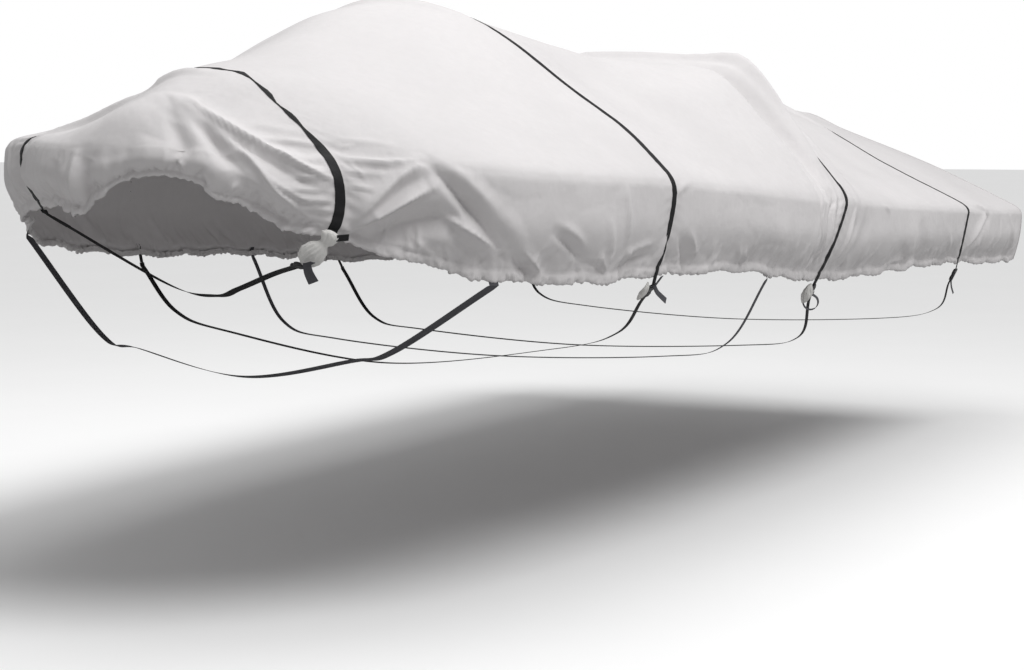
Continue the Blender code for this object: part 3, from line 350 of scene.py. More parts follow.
# Webbing sewn across the cloth: where it crosses the rim, its width, and how far its port and lee feet
# reach past the hem. It drifts aft by drift and top_drift on its way up the deck, and sways aft by
# sway half way down the skirt. Its width is drawn in to the share narrow on the deck, and hang below.
DeckStrap = namedtuple("DeckStrap",
                       "name station width foot lee_foot drift top_drift sway narrow hang pucker wander")
DECK_STRAPS = [
    DeckStrap("bow_strap", 0.345, 0.038, 0.003, 0.012, -0.01, -0.03, 0.034, 0.38, 0.80, 0.0030, 0.0022),
    DeckStrap("front_strap", 1.465, 0.034, 0.028, 0.032, 0.16, 0.06, 0.000, 0.80, 0.74, 0.0018, 0.0004),
    DeckStrap("middle_strap", 2.860, 0.034, 0.028, 0.032, 0.05, 0.05, -0.040, 0.70, 0.80, 0.0022, 0.0004),
    DeckStrap("stern_strap", 4.420, 0.027, 0.028, 0.032, -0.04, 0.05, -0.050, 0.70, 0.90, 0.0016, 0.0003),
]
DRIFT_AT = (0.0, 0.30, 0.95)   # distances in from the rim where the drifts are given
DRIFT_REACH = 0.40             # the cloth beside the webbing moves with it this far off

# Tie-down webbing below the hull, at its own strip of the hem: the chine and bilge that it bends round,
# the keel, and the chine on the lee side. A buckled one hangs from the deck webbing's foot. Its width
# lies fore and aft, turned out of that by turn where the hull leans it over.
Tie = namedtuple("Tie", "name station width buckled chine_x chine_h bilge_x bilge_h keel_shift keel_h "
                        "lee_x lee_h turn", defaults=(0.0,))
TIES = [
    Tie("bow_tie", 0.345, 0.025, True, 0.30, 0.965, 0.12, 0.913, 0.22, 0.885, 0.385, 1.080, 0.35),
    Tie("fore_tie", 0.680, 0.032, False, 0.52, 0.740, 0.38, 0.705, 0.00, 0.640, 0.52, 0.740, 0.30),
    Tie("front_tie", 1.465, 0.025, True, 0.84, 0.740, 0.62, 0.680, 0.00, 0.605, 0.84, 0.740),
    Tie("side_tie", 2.200, 0.025, False, 0.90, 0.645, 0.66, 0.590, 0.00, 0.560, 0.90, 0.645),
    Tie("middle_tie", 2.860, 0.025, True, 0.91, 0.610, 0.68, 0.570, 0.00, 0.540, 0.91, 0.610),
    Tie("stern_tie", 4.420, 0.025, True, 0.96, 0.600, 0.70, 0.550, 0.00, 0.520, 0.96, 0.600),
]

# The floor, the camera that looks at the port bow, and how far below the origin the ground is.
GROUND_LEVEL = UNDER_CLOTH - PEAK_HEIGHT
CAMERA_PLACE = (3.510, -5.698, -0.4285)
CAMERA_PITCH = math.radians(-5.5)
CAMERA_TURN = math.radians(28.19)
CAMERA_LENS = 72.07
SENSOR = 36.0
SUN_FROM = (0.56, -0.03, 0.828)
SUN_ANGLE = math.radians(32)   # how wide the soft sun looks
CAMERA_REACH = 300.0
FLOOR_SIZE = 160.0
OVERHEAD_PLACE = (0.6, 0.4, 4.6)
OVERHEAD_AT = (0.0, 0.4, 0.0)
OVERHEAD_SIZE = 5.0

# Rows of the sheet. The lowest rows have twice as many columns, for the gathers of the hem.
DECK_ROWS = 40
DECK_CROWDING = 1.5           # above 1 the deck's rows crowd towards the rim
SKIRT_ROWS = 3
HEM_ROWS = 36
HEM_SHARE = 0.10              # the fine rows start at this share of the way down the skirt
HEM_CROWDING = 1.2            # and crowd towards the hem
ROLL_TURN = 36                # degrees of the rolled hem between its rows
ROLL_ROWS = 5
HEM_FOLDED_UP = 0.012         # the hem goes up inside the skirt by this much
STRAP_COLUMNS = 4             # fine columns across a strip of webbing
COLUMNS_AT = (0.0, 1.20, 1.50, 2.98, 3.08, 3.36, 3.46, 3.75, 4.80, 5.00)   # distances along the rim
COLUMNS_APART = (1.0, 1.0, 1.8, 1.8, 0.80, 0.80, 1.3, 1.9, 1.9, 1.5)    # where they are this far apart

WEBBING = 0.0016              # thickness of every strap
WEBBING_GAP = 0.0004          # between webbing and what it lies on
BUTT_GAP = 0.0004             # between a buckle and the webbing that ends at it
STRAP_INSET = 0.0010          # webbing lies this far inside the edges of its columns
BUCKLE_LENGTH = 0.052
BUCKLE_WIDTH = 0.036
BUCKLE_DEPTH = 0.009
BUCKLE_CUTS = (-0.30, -0.12, -0.02, 0.12, 0.20)   # shares of its length from its middle, from here on
BUCKLE_WAIST = (-0.03, 0.13)
BUCKLE_WAIST_SIZE = (1.0, 0.72, 1.0)
BUCKLE_ENDS = 0.49
BUCKLE_END_SIZE = (1.0, 0.90, 0.80)
BUCKLE_RECESSES = ((-0.30, -0.12, 0.0030, 0.0012), (-0.02, 0.12, 0.0022, 0.0016))   # with rim and depth
BUCKLE_SLOTS = (-0.40, 0.34, 0.43)
BUCKLE_SLOT = (0.0030, 0.74 * BUCKLE_WIDTH, 0.05)
TAIL_LIES = (-0.012, 0.010, 0.027, 0.032)   # places along the buckle where the free end lies flat
TAIL_LEAD = 0.008             # how far it goes on before it hangs down
TAIL_HANGS = (0.4, 0.7, 1.0)  # shares of its length where its hanging part is set out
TAIL_STEPS = 6                # sections to each part of its line
TAIL_NARROWER = 0.006         # than its tie
TAIL_START = 0.8              # and its start is drawn in to this share

RUN_ROWS = 4                  # a strap's direction at its foot is taken over this many rows
SEWN_ROWS = 6                 # rows of a plain tie inside the skirt
SEWN_INSIDE = 0.003           # how far inside it is
STRAIGHT_END = 0.012          # each end of a tie runs straight for this much
TIE_SPAN = 0.35               # about how far it is from one bend of a tie to the next

FOLD_AT = (0.014, 0.026, 0.038, 0.050)       # the folded end at the bow webbing's foot
FOLD_WAY = Vector((0.5, 0.86, 0.05))
FOLD_OFF = Vector((0.020, -0.016, -0.004))
FOLD_WIDTH = 0.019
PAD_AT = (0.020, 0.090)       # the doubled part of the bow tie, from and to this far from its lee foot
PAD_WIDTH = 0.034

# Free ends: how far up the strap they start, their length, how far they stand off and drift aft, how
# wide their end is as a share of the start, and the radius of the loop that one of them makes.
Tail = namedtuple("Tail", "tie back length lift aft spread loop")
TAILS = [
    Tail("bow_tie", 0.096, 0.046, 0.004, 0.034, 1.5, 0.0),
    Tail("front_tie", 0.058, 0.030, 0.022, 0.052, 1.1, 0.0),
    Tail("middle_tie", 0.020, 0.0, 0.0, 0.0, 0.4, 0.027),
    Tail("stern_tie", 0.000, 0.045, 0.010, 0.010, 0.9, 0.0),
]
LOOP_ACROSS = Vector((0.88, 0.46, 0.0))
LOOP_TURNS = range(70, -250, -40)   # degrees round the loop
LOOP_BACK = 0.2               # its middle is this share of its radius back

GATHER_TO = (0.440, 0.300, 0.985)
GATHER_UP = 0.020             # the bundle starts this far up the webbing
GATHER_OUT = 0.012            # and this far off it
GATHER_LENGTH = 0.104
GATHER_BEND = 0.020           # it turns down after this much
GATHER_FLAT = 0.42            # its thickness as a share of its width
Gather = namedtuple("Gather", "way radius")
GATHER = [Gather(0.0, 0.006), Gather(0.10, 0.022), Gather(0.26, 0.027), Gather(0.40, 0.022),
          Gather(0.48, 0.014), Gather(0.60, 0.028), Gather(0.76, 0.035), Gather(0.92, 0.026),
          Gather(1.0, 0.007)]

# Smaller drawn-up ends of the hem at the feet of two more straps: how far up the webbing they start,
# how far off it, and their length and radius.
Puff = namedtuple("Puff", "tie up off length radius")
PUFFS = [
    Puff("front_tie", 0.010, (-0.010, -0.022, 0.0), 0.050, 0.019),
    Puff("middle_tie", 0.010, (-0.004, -0.022, 0.0), 0.064, 0.034),
]
PUFF = [Gather(0.0, 0.20), Gather(0.25, 0.70), Gather(0.60, 1.00), Gather(0.88, 0.70), Gather(1.0, 0.20)]

AFT = Vector((0.0, 1.0, 0.0))
DOWN = Vector((0.0, 0.0, -1.0))


# ---------------------------------------------------------------- sizes and colours to change
class ClothLooks(bpy.types.PropertyGroup):
    colour: FloatVectorProperty(
        name="Cloth colour", description="Colour of the cover's cloth", subtype="COLOR", size=4,
        min=0.0, max=1.0, default=(0.665, 0.645, 0.648, 1.0))
    column: FloatProperty(
        name="Column spacing", description="Distance between the cloth's columns along the rim",
        default=0.0053, min=0.003, max=0.05, unit="LENGTH")
    hem_radius: FloatProperty(
        name="Hem radius", description="Radius of the rolled hem round its elastic cord",
        default=0.0060, min=0.002, max=0.02, unit="LENGTH")
    gather_depth: FloatProperty(
        name="Gather depth", description="How far the hem's gathers stand out", default=0.0070,
        min=0.0, max=0.02, unit="LENGTH")
    gather_length: FloatProperty(
        name="Gather length", description="Distance from one gather of the hem to the next",
        default=0.026, min=0.01, max=0.1, unit="LENGTH")
    slack: FloatProperty(
        name="Slack", description="Height of the cloth's broad soft waves", default=0.0042,
        min=0.0, max=0.02, unit="LENGTH")
    crumple: FloatProperty(
        name="Crumple", description="Depth of the small sharp creases of stiff cloth",
        default=0.0016, min=0.0, max=0.01, unit="LENGTH")


class WebbingLooks(bpy.types.PropertyGroup):
    colour: FloatVectorProperty(
        name="Webbing colour", description="Colour of the straps and ties", subtype="COLOR", size=4,
        min=0.0, max=1.0, default=(0.009, 0.009, 0.010, 1.0))
    faded: FloatProperty(
        name="Faded", description="How many times lighter the faded free ends and ties are",
        default=7.0, min=1.0, max=40.0)
    step: FloatProperty(
        name="Step", description="Distance between the sections of a tie", default=0.012,
        min=0.004, max=0.1, unit="LENGTH")


class BuckleLooks(bpy.types.PropertyGroup):
    colour: FloatVectorProperty(
        name="Buckle colour", description="Colour of the moulded buckles", subtype="COLOR", size=4,
        min=0.0, max=1.0, default=(0.022, 0.022, 0.024, 1.0))
    edge: FloatProperty(
        name="Edge radius", description="Radius of the buckle's rounded edges", default=0.0011,
        min=0.0002, max=0.004, unit="LENGTH")


class GatherLooks(bpy.types.PropertyGroup):
    colour: FloatVectorProperty(
        name="Gather colour", description="Colour of the gathered bundle", subtype="COLOR", size=4,
        min=0.0, max=1.0, default=(0.72, 0.71, 0.69, 1.0))
    pleats: IntProperty(
        name="Pleats", description="Pleats round the gathered bundle", default=11, min=3, max=40)


class StageLooks(bpy.types.PropertyGroup):
    floor: FloatVectorProperty(
        name="Floor colour", description="Colour of the floor", subtype="COLOR", size=4,
        min=0.0, max=1.0, default=(0.93, 0.93, 0.93, 1.0))
    bounce: FloatProperty(
        name="Bounce", description="Share of the floor's light that reaches the cover from below",
        default=0.50, min=0.0, max=1.0)
    overhead: FloatProperty(
        name="Overhead light", description="Power of the large light above", default=190.0,
        min=0.0, max=20000.0, unit="POWER")
    key: FloatProperty(
        name="Soft sun", description="Strength of the wide light from above the port side", default=1.70,
        min=0.0, max=20.0)
    ambient: FloatProperty(
        name="Ambient light", description="Strength of the light from all round", default=0.35,
        min=0.0, max=2.0)


class CoverLooks(bpy.types.PropertyGroup):
    """All the sizes and colours that can be changed, by group"""
    cloth: PointerProperty(type=ClothLooks)
    webbing: PointerProperty(type=WebbingLooks)
    buckle: PointerProperty(type=BuckleLooks)
    gather: PointerProperty(type=GatherLooks)
    stage: PointerProperty(type=StageLooks)


# ---------------------------------------------------------------- smooth curves through tables
def column_of(table, name):
    return np.array([getattr(row, name) for row in table], float)


def through(xs, ys, x):
    """A smooth curve through knots that never overshoots them; each x may have knots of its own."""
    shape = np.shape(x)
    x = np.ravel(np.asarray(x, float))
    xs = np.broadcast_to(np.asarray(xs, float).reshape(len(xs), -1), (len(xs), x.size))
    ys = np.broadcast_to(np.asarray(ys, float).reshape(len(ys), -1), (len(ys), x.size))
    step = np.diff(xs, axis=0)
    slope = np.diff(ys, axis=0) / step
    before, after = slope[:-1], slope[1:]
    w1 = 2 * step[1:] + step[:-1]
    w2 = step[1:] + 2 * step[:-1]
    turns = before * after <= 0
    safe_before = np.where(turns, 1.0, before)
    safe_after = np.where(turns, 1.0, after)
    tangent = np.empty_like(ys)
    tangent[0] = slope[0]
    tangent[-1] = slope[-1]
    tangent[1:-1] = np.where(turns, 0.0, (w1 + w2) / (w1 / safe_before + w2 / safe_after))
    x = np.clip(x, xs[0], xs[-1])
    k = np.clip((x[None] > xs).sum(axis=0) - 1, 0, len(xs) - 2)[None]

    def at(values):
        return np.take_along_axis(values, k, axis=0)[0]

    width = at(step)
    t = (x - at(xs[:-1])) / width
    value = ((2 * t**3 - 3 * t**2 + 1) * at(ys[:-1]) + (t**3 - 2 * t**2 + t) * width * at(tangent[:-1])
             + (3 * t**2 - 2 * t**3) * at(ys[1:]) + (t**3 - t**2) * width * at(tangent[1:]))
    return value.reshape(shape)


def smooth_path(points, per_span=30):
    """Centripetal curve through rows of numbers; the first row is mirrored about the middle."""
    rows = np.array(points, float)
    before = rows[1].copy()
    before[0] = -before[0]
    rows = np.vstack([before, rows, 2 * rows[-1] - rows[-2]])
    out = []
    for i in range(1, len(rows) - 2):
        p = rows[i - 1:i + 3]
        t = np.concatenate([[0.0], np.cumsum(np.sqrt(np.linalg.norm(np.diff(p, axis=0), axis=1)))])
        for k in range(per_span):
            u = t[1] + (t[2] - t[1]) * k / per_span
            a = [((t[j + 1] - u) * p[j] + (u - t[j]) * p[j + 1]) / (t[j + 1] - t[j]) for j in range(3)]
            b = [((t[j + 2] - u) * a[j] + (u - t[j]) * a[j + 1]) / (t[j + 2] - t[j]) for j in range(2)]
            out.append(((t[2] - u) * b[0] + (u - t[1]) * b[1]) / (t[2] - t[1]))
    out.append(rows[-2])
    return np.array(out)


def smooth_line(points, per_span):
    """Points of an open smooth curve through the given ones."""
    pts = [points[0] * 2 - points[1]] + list(points) + [points[-1] * 2 - points[-2]]
    out = []
    for i in range(1, len(pts) - 2):
        a, b, c, d = pts[i - 1:i + 3]
        for k in range(per_span):
            t = k / per_span
            out.append(0.5 * (2 * b + (c - a) * t + (2 * a - 5 * b + 4 * c - d) * t**2
                              + (3 * b - a - 3 * c + d) * t**3))
    out.append(points[-1])
    return out


def eased(x, low, high):
    """0 below low, 1 above high and smooth between."""
    t = np.clip((x - low) / (high - low), 0.0, 1.0)
    return t * t * (3 - 2 * t)


def no_less(share, amount):
    """From a share where the amount is 0 up to 1 where it is 1."""
    return share + (1 - share) * amount


def distances(line):
    """How far each point of a line is along it."""
    return np.concatenate([[0.0], np.cumsum(np.linalg.norm(np.diff(line, axis=0), axis=-1))])


def unit(rows):
    """Rows of numbers as vectors of length 1."""
    return rows / np.linalg.norm(rows, axis=-1, keepdims=True)


RIM_PATH = smooth_path(RIM)
RIM_ALONG = distances(RIM_PATH[:, :2])
RIM_LENGTH = float(RIM_ALONG[-1])


# ---------------------------------------------------------------- the draped surface
def rim_at(along):
    """half_beam, station, height, lee_lift and lee_in at places along the rim."""
    return [np.interp(along, RIM_ALONG, RIM_PATH[:, i]) for i in range(5)]


def rim_along(station):
    return float(np.interp(station, RIM_PATH[:, 1], RIM_ALONG))


def half_beam(side, along):
    half, _, _, _, lee_in = rim_at(along)
    return half - lee_in if side < 0 else half


RIM_STEP = 0.02               # the rim's direction is taken between points this far to both sides


def rim_outward(along):
    """Unit vectors out of the deck in plan, on the port side, and aft along the rim."""
    along = np.asarray(along, float)
    x0, s0 = rim_at(np.maximum(along - RIM_STEP, 0.0))[:2]
    x1, s1 = rim_at(np.minimum(along + RIM_STEP, RIM_LENGTH))[:2]
    nose = along < RIM_STEP
    x0 = np.where(nose, -x1, x0)
    s0 = np.where(nose, s1, s0)
    length = np.hypot(x1 - x0, s1 - s0)
    aft = ((x1 - x0) / length, (s1 - s0) / length)
    return (aft[1], -aft[0]), aft


LEAST_HALF_BEAM = 1e-4        # keeps the nose's point from dividing by nothing
CROWN_MOST = 0.6              # the ridge is never further to port than this share of the half beam


def deck_height(x, station):
    """Height of the cloth above points of the deck; x is positive to port."""
    half, height, lift, lee_in = [np.interp(station, RIM_PATH[:, 1], RIM_PATH[:, i]) for i in (0, 2, 3, 4)]
    lee_half = np.maximum(half - lee_in, LEAST_HALF_BEAM)
    half = np.maximum(half, LEAST_HALF_BEAM)
    at = {name: through(column_of(SECTIONS, "station"), column_of(SECTIONS, name), station)
          for name in Section._fields[1:]}
    crown = np.minimum(at["crown"], CROWN_MOST * half)
    lee = x < crown
    share = np.where(lee, (crown - x) / (lee_half + crown), (x - crown) / (half - crown))
    share = np.minimum(share, 1.0)
    sag = np.where(lee, at["sag"], 0.0)
    zero = np.zeros_like(x)
    ways = np.stack([-at["share"], zero, at["share"], (1 + at["share"]) / 2, zero + 1.0])
    heights = np.stack([at["shoulder"], at["ridge"], at["shoulder"] - sag, at["flank"] - sag, height])
    return through(ways, heights, share) + np.where(lee, lift * share**2, 0.0)


def spine_station(along, station):
    """Where the row from a point of the rim meets the middle of the boat."""
    end = rim_along(SPINE_FREE)
    u = np.minimum(along / end, 1.0)
    reach = SPINE_FREE - SPINE_START
    leave = float(rim_outward(end)[1][1]) * end
    nose = (SPINE_START + reach * u**2 * (3 - 2 * u) + NOSE_RATE * (u**3 - 2 * u**2 + u)
            + leave * (u**3 - u**2))
    return np.where(along >= end, station, nose)


def rounding(along, distance):
    """How far the rounded edge is drawn in and down at a distance from the sharp rim."""
    nose = np.maximum(1 - along / NOSE_ROUND_END, 0.0)
    radius = SIDE_ROUND + (NOSE_ROUND - SIDE_ROUND) * nose
    return ROUNDING * radius * np.maximum(1 - distance / radius, 0.0) ** 2


def to_part(x, station, height):
    """From the tables' measures to the part's own frame."""
    return np.stack([x, station - PEAK_STATION, height - PEAK_HEIGHT + UNDER_CLOTH], axis=-1)


def deck_points(side, along, way):
    """Points of the deck, and how far each is from the rim; way is 0 at the rim and 1 in the middle."""
    station = rim_at(along)[1]
    middle = spine_station(along, station)
    x = side * half_beam(side, along) * (1 - way)
    s = station + (middle - station) * way
    out, _ = rim_outward(along)
    distance = np.hypot(x - side * half_beam(side, along), s - station)
    drawn = rounding(along, distance)
    z = deck_height(x, s) - drawn
    return to_part(x - side * drawn * out[0], s - drawn * out[1], z), distance


HEM_UNEVEN = 0.005            # how far the hem waves in and out, and up and down
HEM_WAVES = (17.0, 31.0, 23.0)   # radians to a metre: in and out, finer in and out, up and down
BULGE_BEND = 0.8              # below 1 the skirt bulges out higher than half way down


def skirt_points(side, along, way):
    """Points of the skirt, and how far each is below the rim; way is 0 at the rim and 1 at the hem."""
    _, station, height, lift, _ = rim_at(along)
    half = half_beam(side, along)
    table = SKIRT_PORT if side > 0 else SKIRT_LEE
    depth, bulge, tuck, sweep = [through(column_of(table, "along"), column_of(table, name), along)
                                 for name in Skirt._fields[1:]]
    if side < 0:
        height = height + lift
    out, aft = rim_outward(along)
    wide, finer, upright = HEM_WAVES
    waves = np.sin(wide * along + side) + 0.6 * np.sin(finer * along + 2 * side)
    drop = (depth + HEM_UNEVEN * np.sin(upright * along + 2 * side) * way) * way
    drawn = rounding(along, drop)
    off = bulge * np.sin(math.pi * way**BULGE_BEND) - tuck * way**2 + HEM_UNEVEN * waves * way**2 - drawn
    x = side * (half + out[0] * off + aft[0] * sweep * way)
    s = station + out[1] * off + aft[1] * sweep * way
    return to_part(x, s, height - drop - drawn), drop


# ---------------------------------------------------------------- folds, puckers and gathers
CREASE_RELIEF = 1.35          # how much deeper than their table the creases are pressed


CREST = 3.2                   # how quickly a sharp crease falls away from its crest
CREASE_ENDS = (0.04, 0.96)    # a crease fades towards its ends, from these shares of its length
FADE_BEND = 0.6               # below 1 it fades late and quickly


def crease_heights(along, out):
    """Sum of all creases at places of the cloth; along is negative on the lee side."""
    total = np.zeros_like(along)
    for crease in CREASES:
        start = np.array([crease.along_1, crease.out_1])
        way = np.array([crease.along_2, crease.out_2]) - start
        length = float(np.hypot(*way))
        way /= length
        reach = length / 2 + crease.width * (1 + abs(crease.lean))
        near = np.abs(along - (crease.along_1 + crease.along_2) / 2) < reach
        run = (along[near] - start[0]) * way[0] + (out[near] - start[1]) * way[1]
        aside = (out[near] - start[1]) * way[0] - (along[near] - start[0]) * way[1]
        share = np.clip(run / length, 0.0, 1.0)
        aside = aside - crease.bow * 4 * share * (1 - share)
        past = run - share * length
        far = np.hypot(aside / (1 + crease.lean * np.sign(aside)), past) / crease.width
        inside = np.maximum(1 - far**2, 0.0)
        soft = inside**2
        sharp = inside * np.exp(-CREST * far)
        ends = np.sin(math.pi * np.clip(share, *CREASE_ENDS)) ** FADE_BEND
        total[near] += crease.height * ends * (crease.edge * soft + (1 - crease.edge) * sharp)
    return CREASE_RELIEF * total


PUCKERS_REACH = 0.12          # the puckers end this far from the webbing
PUCKERS_FADE = 0.022          # and fade over about this much
PUCKER_LENGTH = 0.036         # from one pucker to the next, down the webbing
PUCKER_SLANT = 0.45           # how far they slant towards the rim
PUCKER_RIM = 0.10             # they are strongest within this of the rim,
PUCKER_REST = 0.45            # with this share left further in


def strap_puckers(along, out):
    """Small folds that the stitching draws beside the webbing."""
    total = np.zeros_like(along)
    for strap in DECK_STRAPS:
        middle = rim_along(strap.station)
        beside = np.abs(np.abs(along) - middle) - strap.width / 2
        near = beside < PUCKERS_REACH
        gap = np.maximum(beside[near], 0.0)
        side = np.sign(np.abs(along[near]) - middle)
        drift = 0.9 * np.sin(9.0 * out[near] + side) + 0.5 * np.sin(23.0 * out[near] + 2.0)
        turns = (out[near] + PUCKER_SLANT * gap) / PUCKER_LENGTH
        wave = np.sin(2 * math.pi * turns + drift + 1.3 * side)
        calm = no_less(PUCKER_REST, np.exp(-np.maximum(out[near], 0.0) / PUCKER_RIM))
        calm *= no_less(0.2, eased(beside[near], -0.003, 0.012))
        total[near] += strap.pucker * wave * np.exp(-gap / PUCKERS_FADE) * calm
    return total


# Noise over the cloth and over the gathered bundles: turns to a metre on each axis, and its start.
SLACK = (3.1, 2.3, 4.5), (1.7, 0.4, 2.9)
SLACK_FINER = (8, 6, 9), (5, 3, 1)
SMALL_WAVES = (19, 15, 15), (2.2, 8.1, 0.5)
CRUMPLED = (2.2, 1.7, 2.0), (9.0, 2.0, 4.0)
CRUMPLES = (6.5, 5.2, 8.5), (0.6, 1.9, 3.3)
STREAKS = (42, 7, 1), (4.4, 0.2, 6.1)
GATHERS_SWELL = (4.5, 1, 1), (3.1, 6.6, 0.4)
PULL = (3.4, 1, 1), (2.4, 0.7, 3.3)
PULL_FINER = (11, 1, 1), (6, 2, 1)
PANEL_SLACK = (3.0, 3.0, 2.2), (4.1, 7.2, 3.3)
PANEL_CRUMPLES = (5.5, 5.5, 4.5), (3.1, 2.2, 6.0)
BUNDLE = (1, 1, 1), (0.3, 0.8, 2.6)
BUNDLE_FINER = (3, 3, 3), (4, 1, 2)


def noise_at(points, scale, seed):
    """Smooth noise, roughly -1 to 1, at points scaled per axis."""
    spots = points * np.asarray(scale, float) + np.asarray(seed, float)
    return np.array([noise.noise(Vector(spot)) for spot in spots])


FACET_EDGE = 0.07             # width of a crumpled facet's border, as a share of a facet


def cell_creases(points, scale, seed):
    """1 along the borders of crumpled facets and 0 inside them."""
    spots = points * np.asarray(scale, float) + np.asarray(seed, float)
    gaps = []
    for spot in spots:
        near = noise.voronoi(Vector(spot))[0]
        gaps.append(near[1] - near[0])
    return np.exp(-np.array(gaps) / FACET_EDGE)


def on_cloth(along, out=0.0):
    """Places on the flat cloth, for noise."""
    return np.stack([along, 0 * along + out, 0 * along], axis=-1)


HOLLOW = 0.011                # how far the elastic draws the cloth in,
HOLLOW_AT = 0.90              # at this share of the way down the skirt
BELLY = 0.010                 # how far the skirt bellies out
BELLY_AT = 0.52
NOSE_GATHERS = 0.5            # how much more the hem is gathered round the nose
CASING_AT = 0.915             # share of the way down the skirt where the casing's seam is
CASING_SOFT = 0.014
CASING_DEPTH = 0.32           # depth of its groove, as a share of the gathers'
GATHERS_FROM = 0.70           # the gathers rise from this share of the way down to the casing
RUFFLES_FROM = 0.90           # and the ruffles from this one
STREAKS_BELOW = 0.045         # fine upright folds, strongest this far below the rim
STREAK_HEIGHT = 0.0016
WAVE_HEIGHT = 0.0011          # height of the small waves of the skirt
DECK_SLACK = 0.35             # share of the broad waves and of the crumpling left on the deck
DECK_CRUMPLE = 0.15


def beside_webbing(along, near, far):
    """0 within near of the middle of the deck webbing and 1 past far."""
    sewn = [rim_along(strap.station) for strap in DECK_STRAPS]
    beside = np.min([np.abs(np.abs(along) - middle) for middle in sewn], axis=0)
    return eased(beside, near, far)


def hem_gathers(along, out, way, looks):
    """The elastic's gathers: uneven short folds above the hem and fine ruffles on its edge."""
    flat = on_cloth(along, out)
    folds = noise_at(flat, (1 / looks.gather_length, 12, 1), (7.7, 1.3, 5.2))
    finer = noise_at(flat, (2.7 / looks.gather_length, 60, 1), (0.3, 4.1, 2.2))
    swell = 0.6 + 0.9 * eased(noise_at(flat, *GATHERS_SWELL), -0.4, 0.5)
    rise = eased(way, GATHERS_FROM, 0.97) ** 1.6
    ruffle = eased(way, RUFFLES_FROM, 0.97)
    casing = np.exp(-((way - CASING_AT) / CASING_SOFT) ** 2)
    calm = no_less(0.15, beside_webbing(along, 0.016, 0.045))
    calm *= 1 + NOSE_GATHERS * (1 - eased(np.abs(along), 0.3, 0.6))
    relief = calm * swell * (1.3 * folds * rise + 1.0 * finer * ruffle) - CASING_DEPTH * casing
    return looks.gather_depth * relief


def elastic_pull(along, way):
    """The elastic draws the cloth in above its casing, so that the skirt bellies out over it."""
    flat = on_cloth(along)
    uneven = 1 + 0.7 * noise_at(flat, *PULL) + 0.4 * noise_at(flat, *PULL_FINER)
    hollow = np.exp(-((way - HOLLOW_AT) / np.where(way < HOLLOW_AT, 0.13, 0.05)) ** 2)
    belly = np.exp(-((way - BELLY_AT) / 0.20) ** 2) * eased(way, 0.0, 0.2)
    return uneven * beside_webbing(along, 0.010, 0.070) * (BELLY * belly - HOLLOW * hollow)


# ---------------------------------------------------------------- the grid of the cloth
def fine_places(looks):
    """Places of the fine columns along the rim, and the first fine column of each strip of webbing.
    Every stretch has an even number of columns, so that every second one is a coarse column."""
    rows = [(rim_along(strap.station), strap.width, strap.name) for strap in DECK_STRAPS]
    rows += [(rim_along(tie.station), tie.width, tie.name) for tie in TIES if not tie.buckled]
    along = np.linspace(0.0, RIM_LENGTH, 3000)
    apart = looks.column * np.interp(along, COLUMNS_AT, COLUMNS_APART)
    passed = np.concatenate([[0.0], np.cumsum(np.diff(along) / apart[1:])])
    places = [0.0]
    first = {}
    for middle, width, name in sorted(rows) + [(None, None, None)]:
        start = places[-1]
        end = RIM_LENGTH if name is None else middle - width / 2
        low, high = np.interp((start, end), along, passed)
        count = 2 * max(round((high - low) / 2), 2)
        places += list(np.interp(np.linspace(low, high, count + 1)[1:], passed, along))
        if name is None:
            break
        first[name] = len(places) - 1
        places += [places[-1] + width * (k + 1) / STRAP_COLUMNS for k in range(STRAP_COLUMNS)]
    return np.array(places), first


WANDER_WAVES = (0.085, 0.052)   # lengths of the webbing's wandering on the deck
WANDER_REACH = 0.03             # which moves the cloth beside it over about this much


def wandering(side, along, out, way):
    """Places moved along the rim with the webbing near them, which drifts, sways and wanders a little;
    way is 0 on the deck and at the rim and 1 at the hem."""
    long, short = WANDER_WAVES
    moved = along.copy()
    for strap in DECK_STRAPS:
        beside = np.maximum(np.abs(along - rim_along(strap.station)) - strap.width / 2, 0.0)
        drift = through(DRIFT_AT, (0.0, strap.drift, strap.top_drift), np.maximum(out, 0.0))
        drift += 4 * strap.sway * way * (1 - way)
        moved += drift * (1 - eased(beside, 0.0, DRIFT_REACH))
        wave = np.sin(2 * math.pi * out / long + side) + 0.5 * np.sin(2 * math.pi * out / short)
        moved += strap.wander * wave * np.exp(-beside / WANDER_REACH) * eased(out, 0.0, 0.05)
    return np.clip(moved, 0.0, RIM_LENGTH)


def rolled_rows(edge, inward, down, radius):
    """Rows that turn a hem inwards round its elastic, from its edge."""
    rows = []
    for k in range(1, ROLL_ROWS + 1):
        angle = math.radians(ROLL_TURN * k)
        rows.append(edge + inward * radius * (1 - math.cos(angle)) + down * radius * math.sin(angle))
    return rows


def relaxed(points, out):
    """Lets the rows near the rim relax across it, so that no hard line is left there."""
    share = 0.5 * np.exp(-(out / RIM_SOFT) ** 2)[..., None]
    for _ in range(RIM_ROUNDS):
        middle = (points[:, :-2] + points[:, 2:]) / 2
        points[:, 1:-1] += share[:, 1:-1] * (middle - points[:, 1:-1])
    return points


def normals_of(points, side):
    """Outward unit normals of a grid of points by column and row."""
    by_column = np.gradient(points, axis=0)
    by_row = np.gradient(points, axis=1)
    normal = side * np.cross(by_column, by_row)
    length = np.linalg.norm(normal, axis=-1, keepdims=True)
    return normal / np.maximum(length, 1e-12)


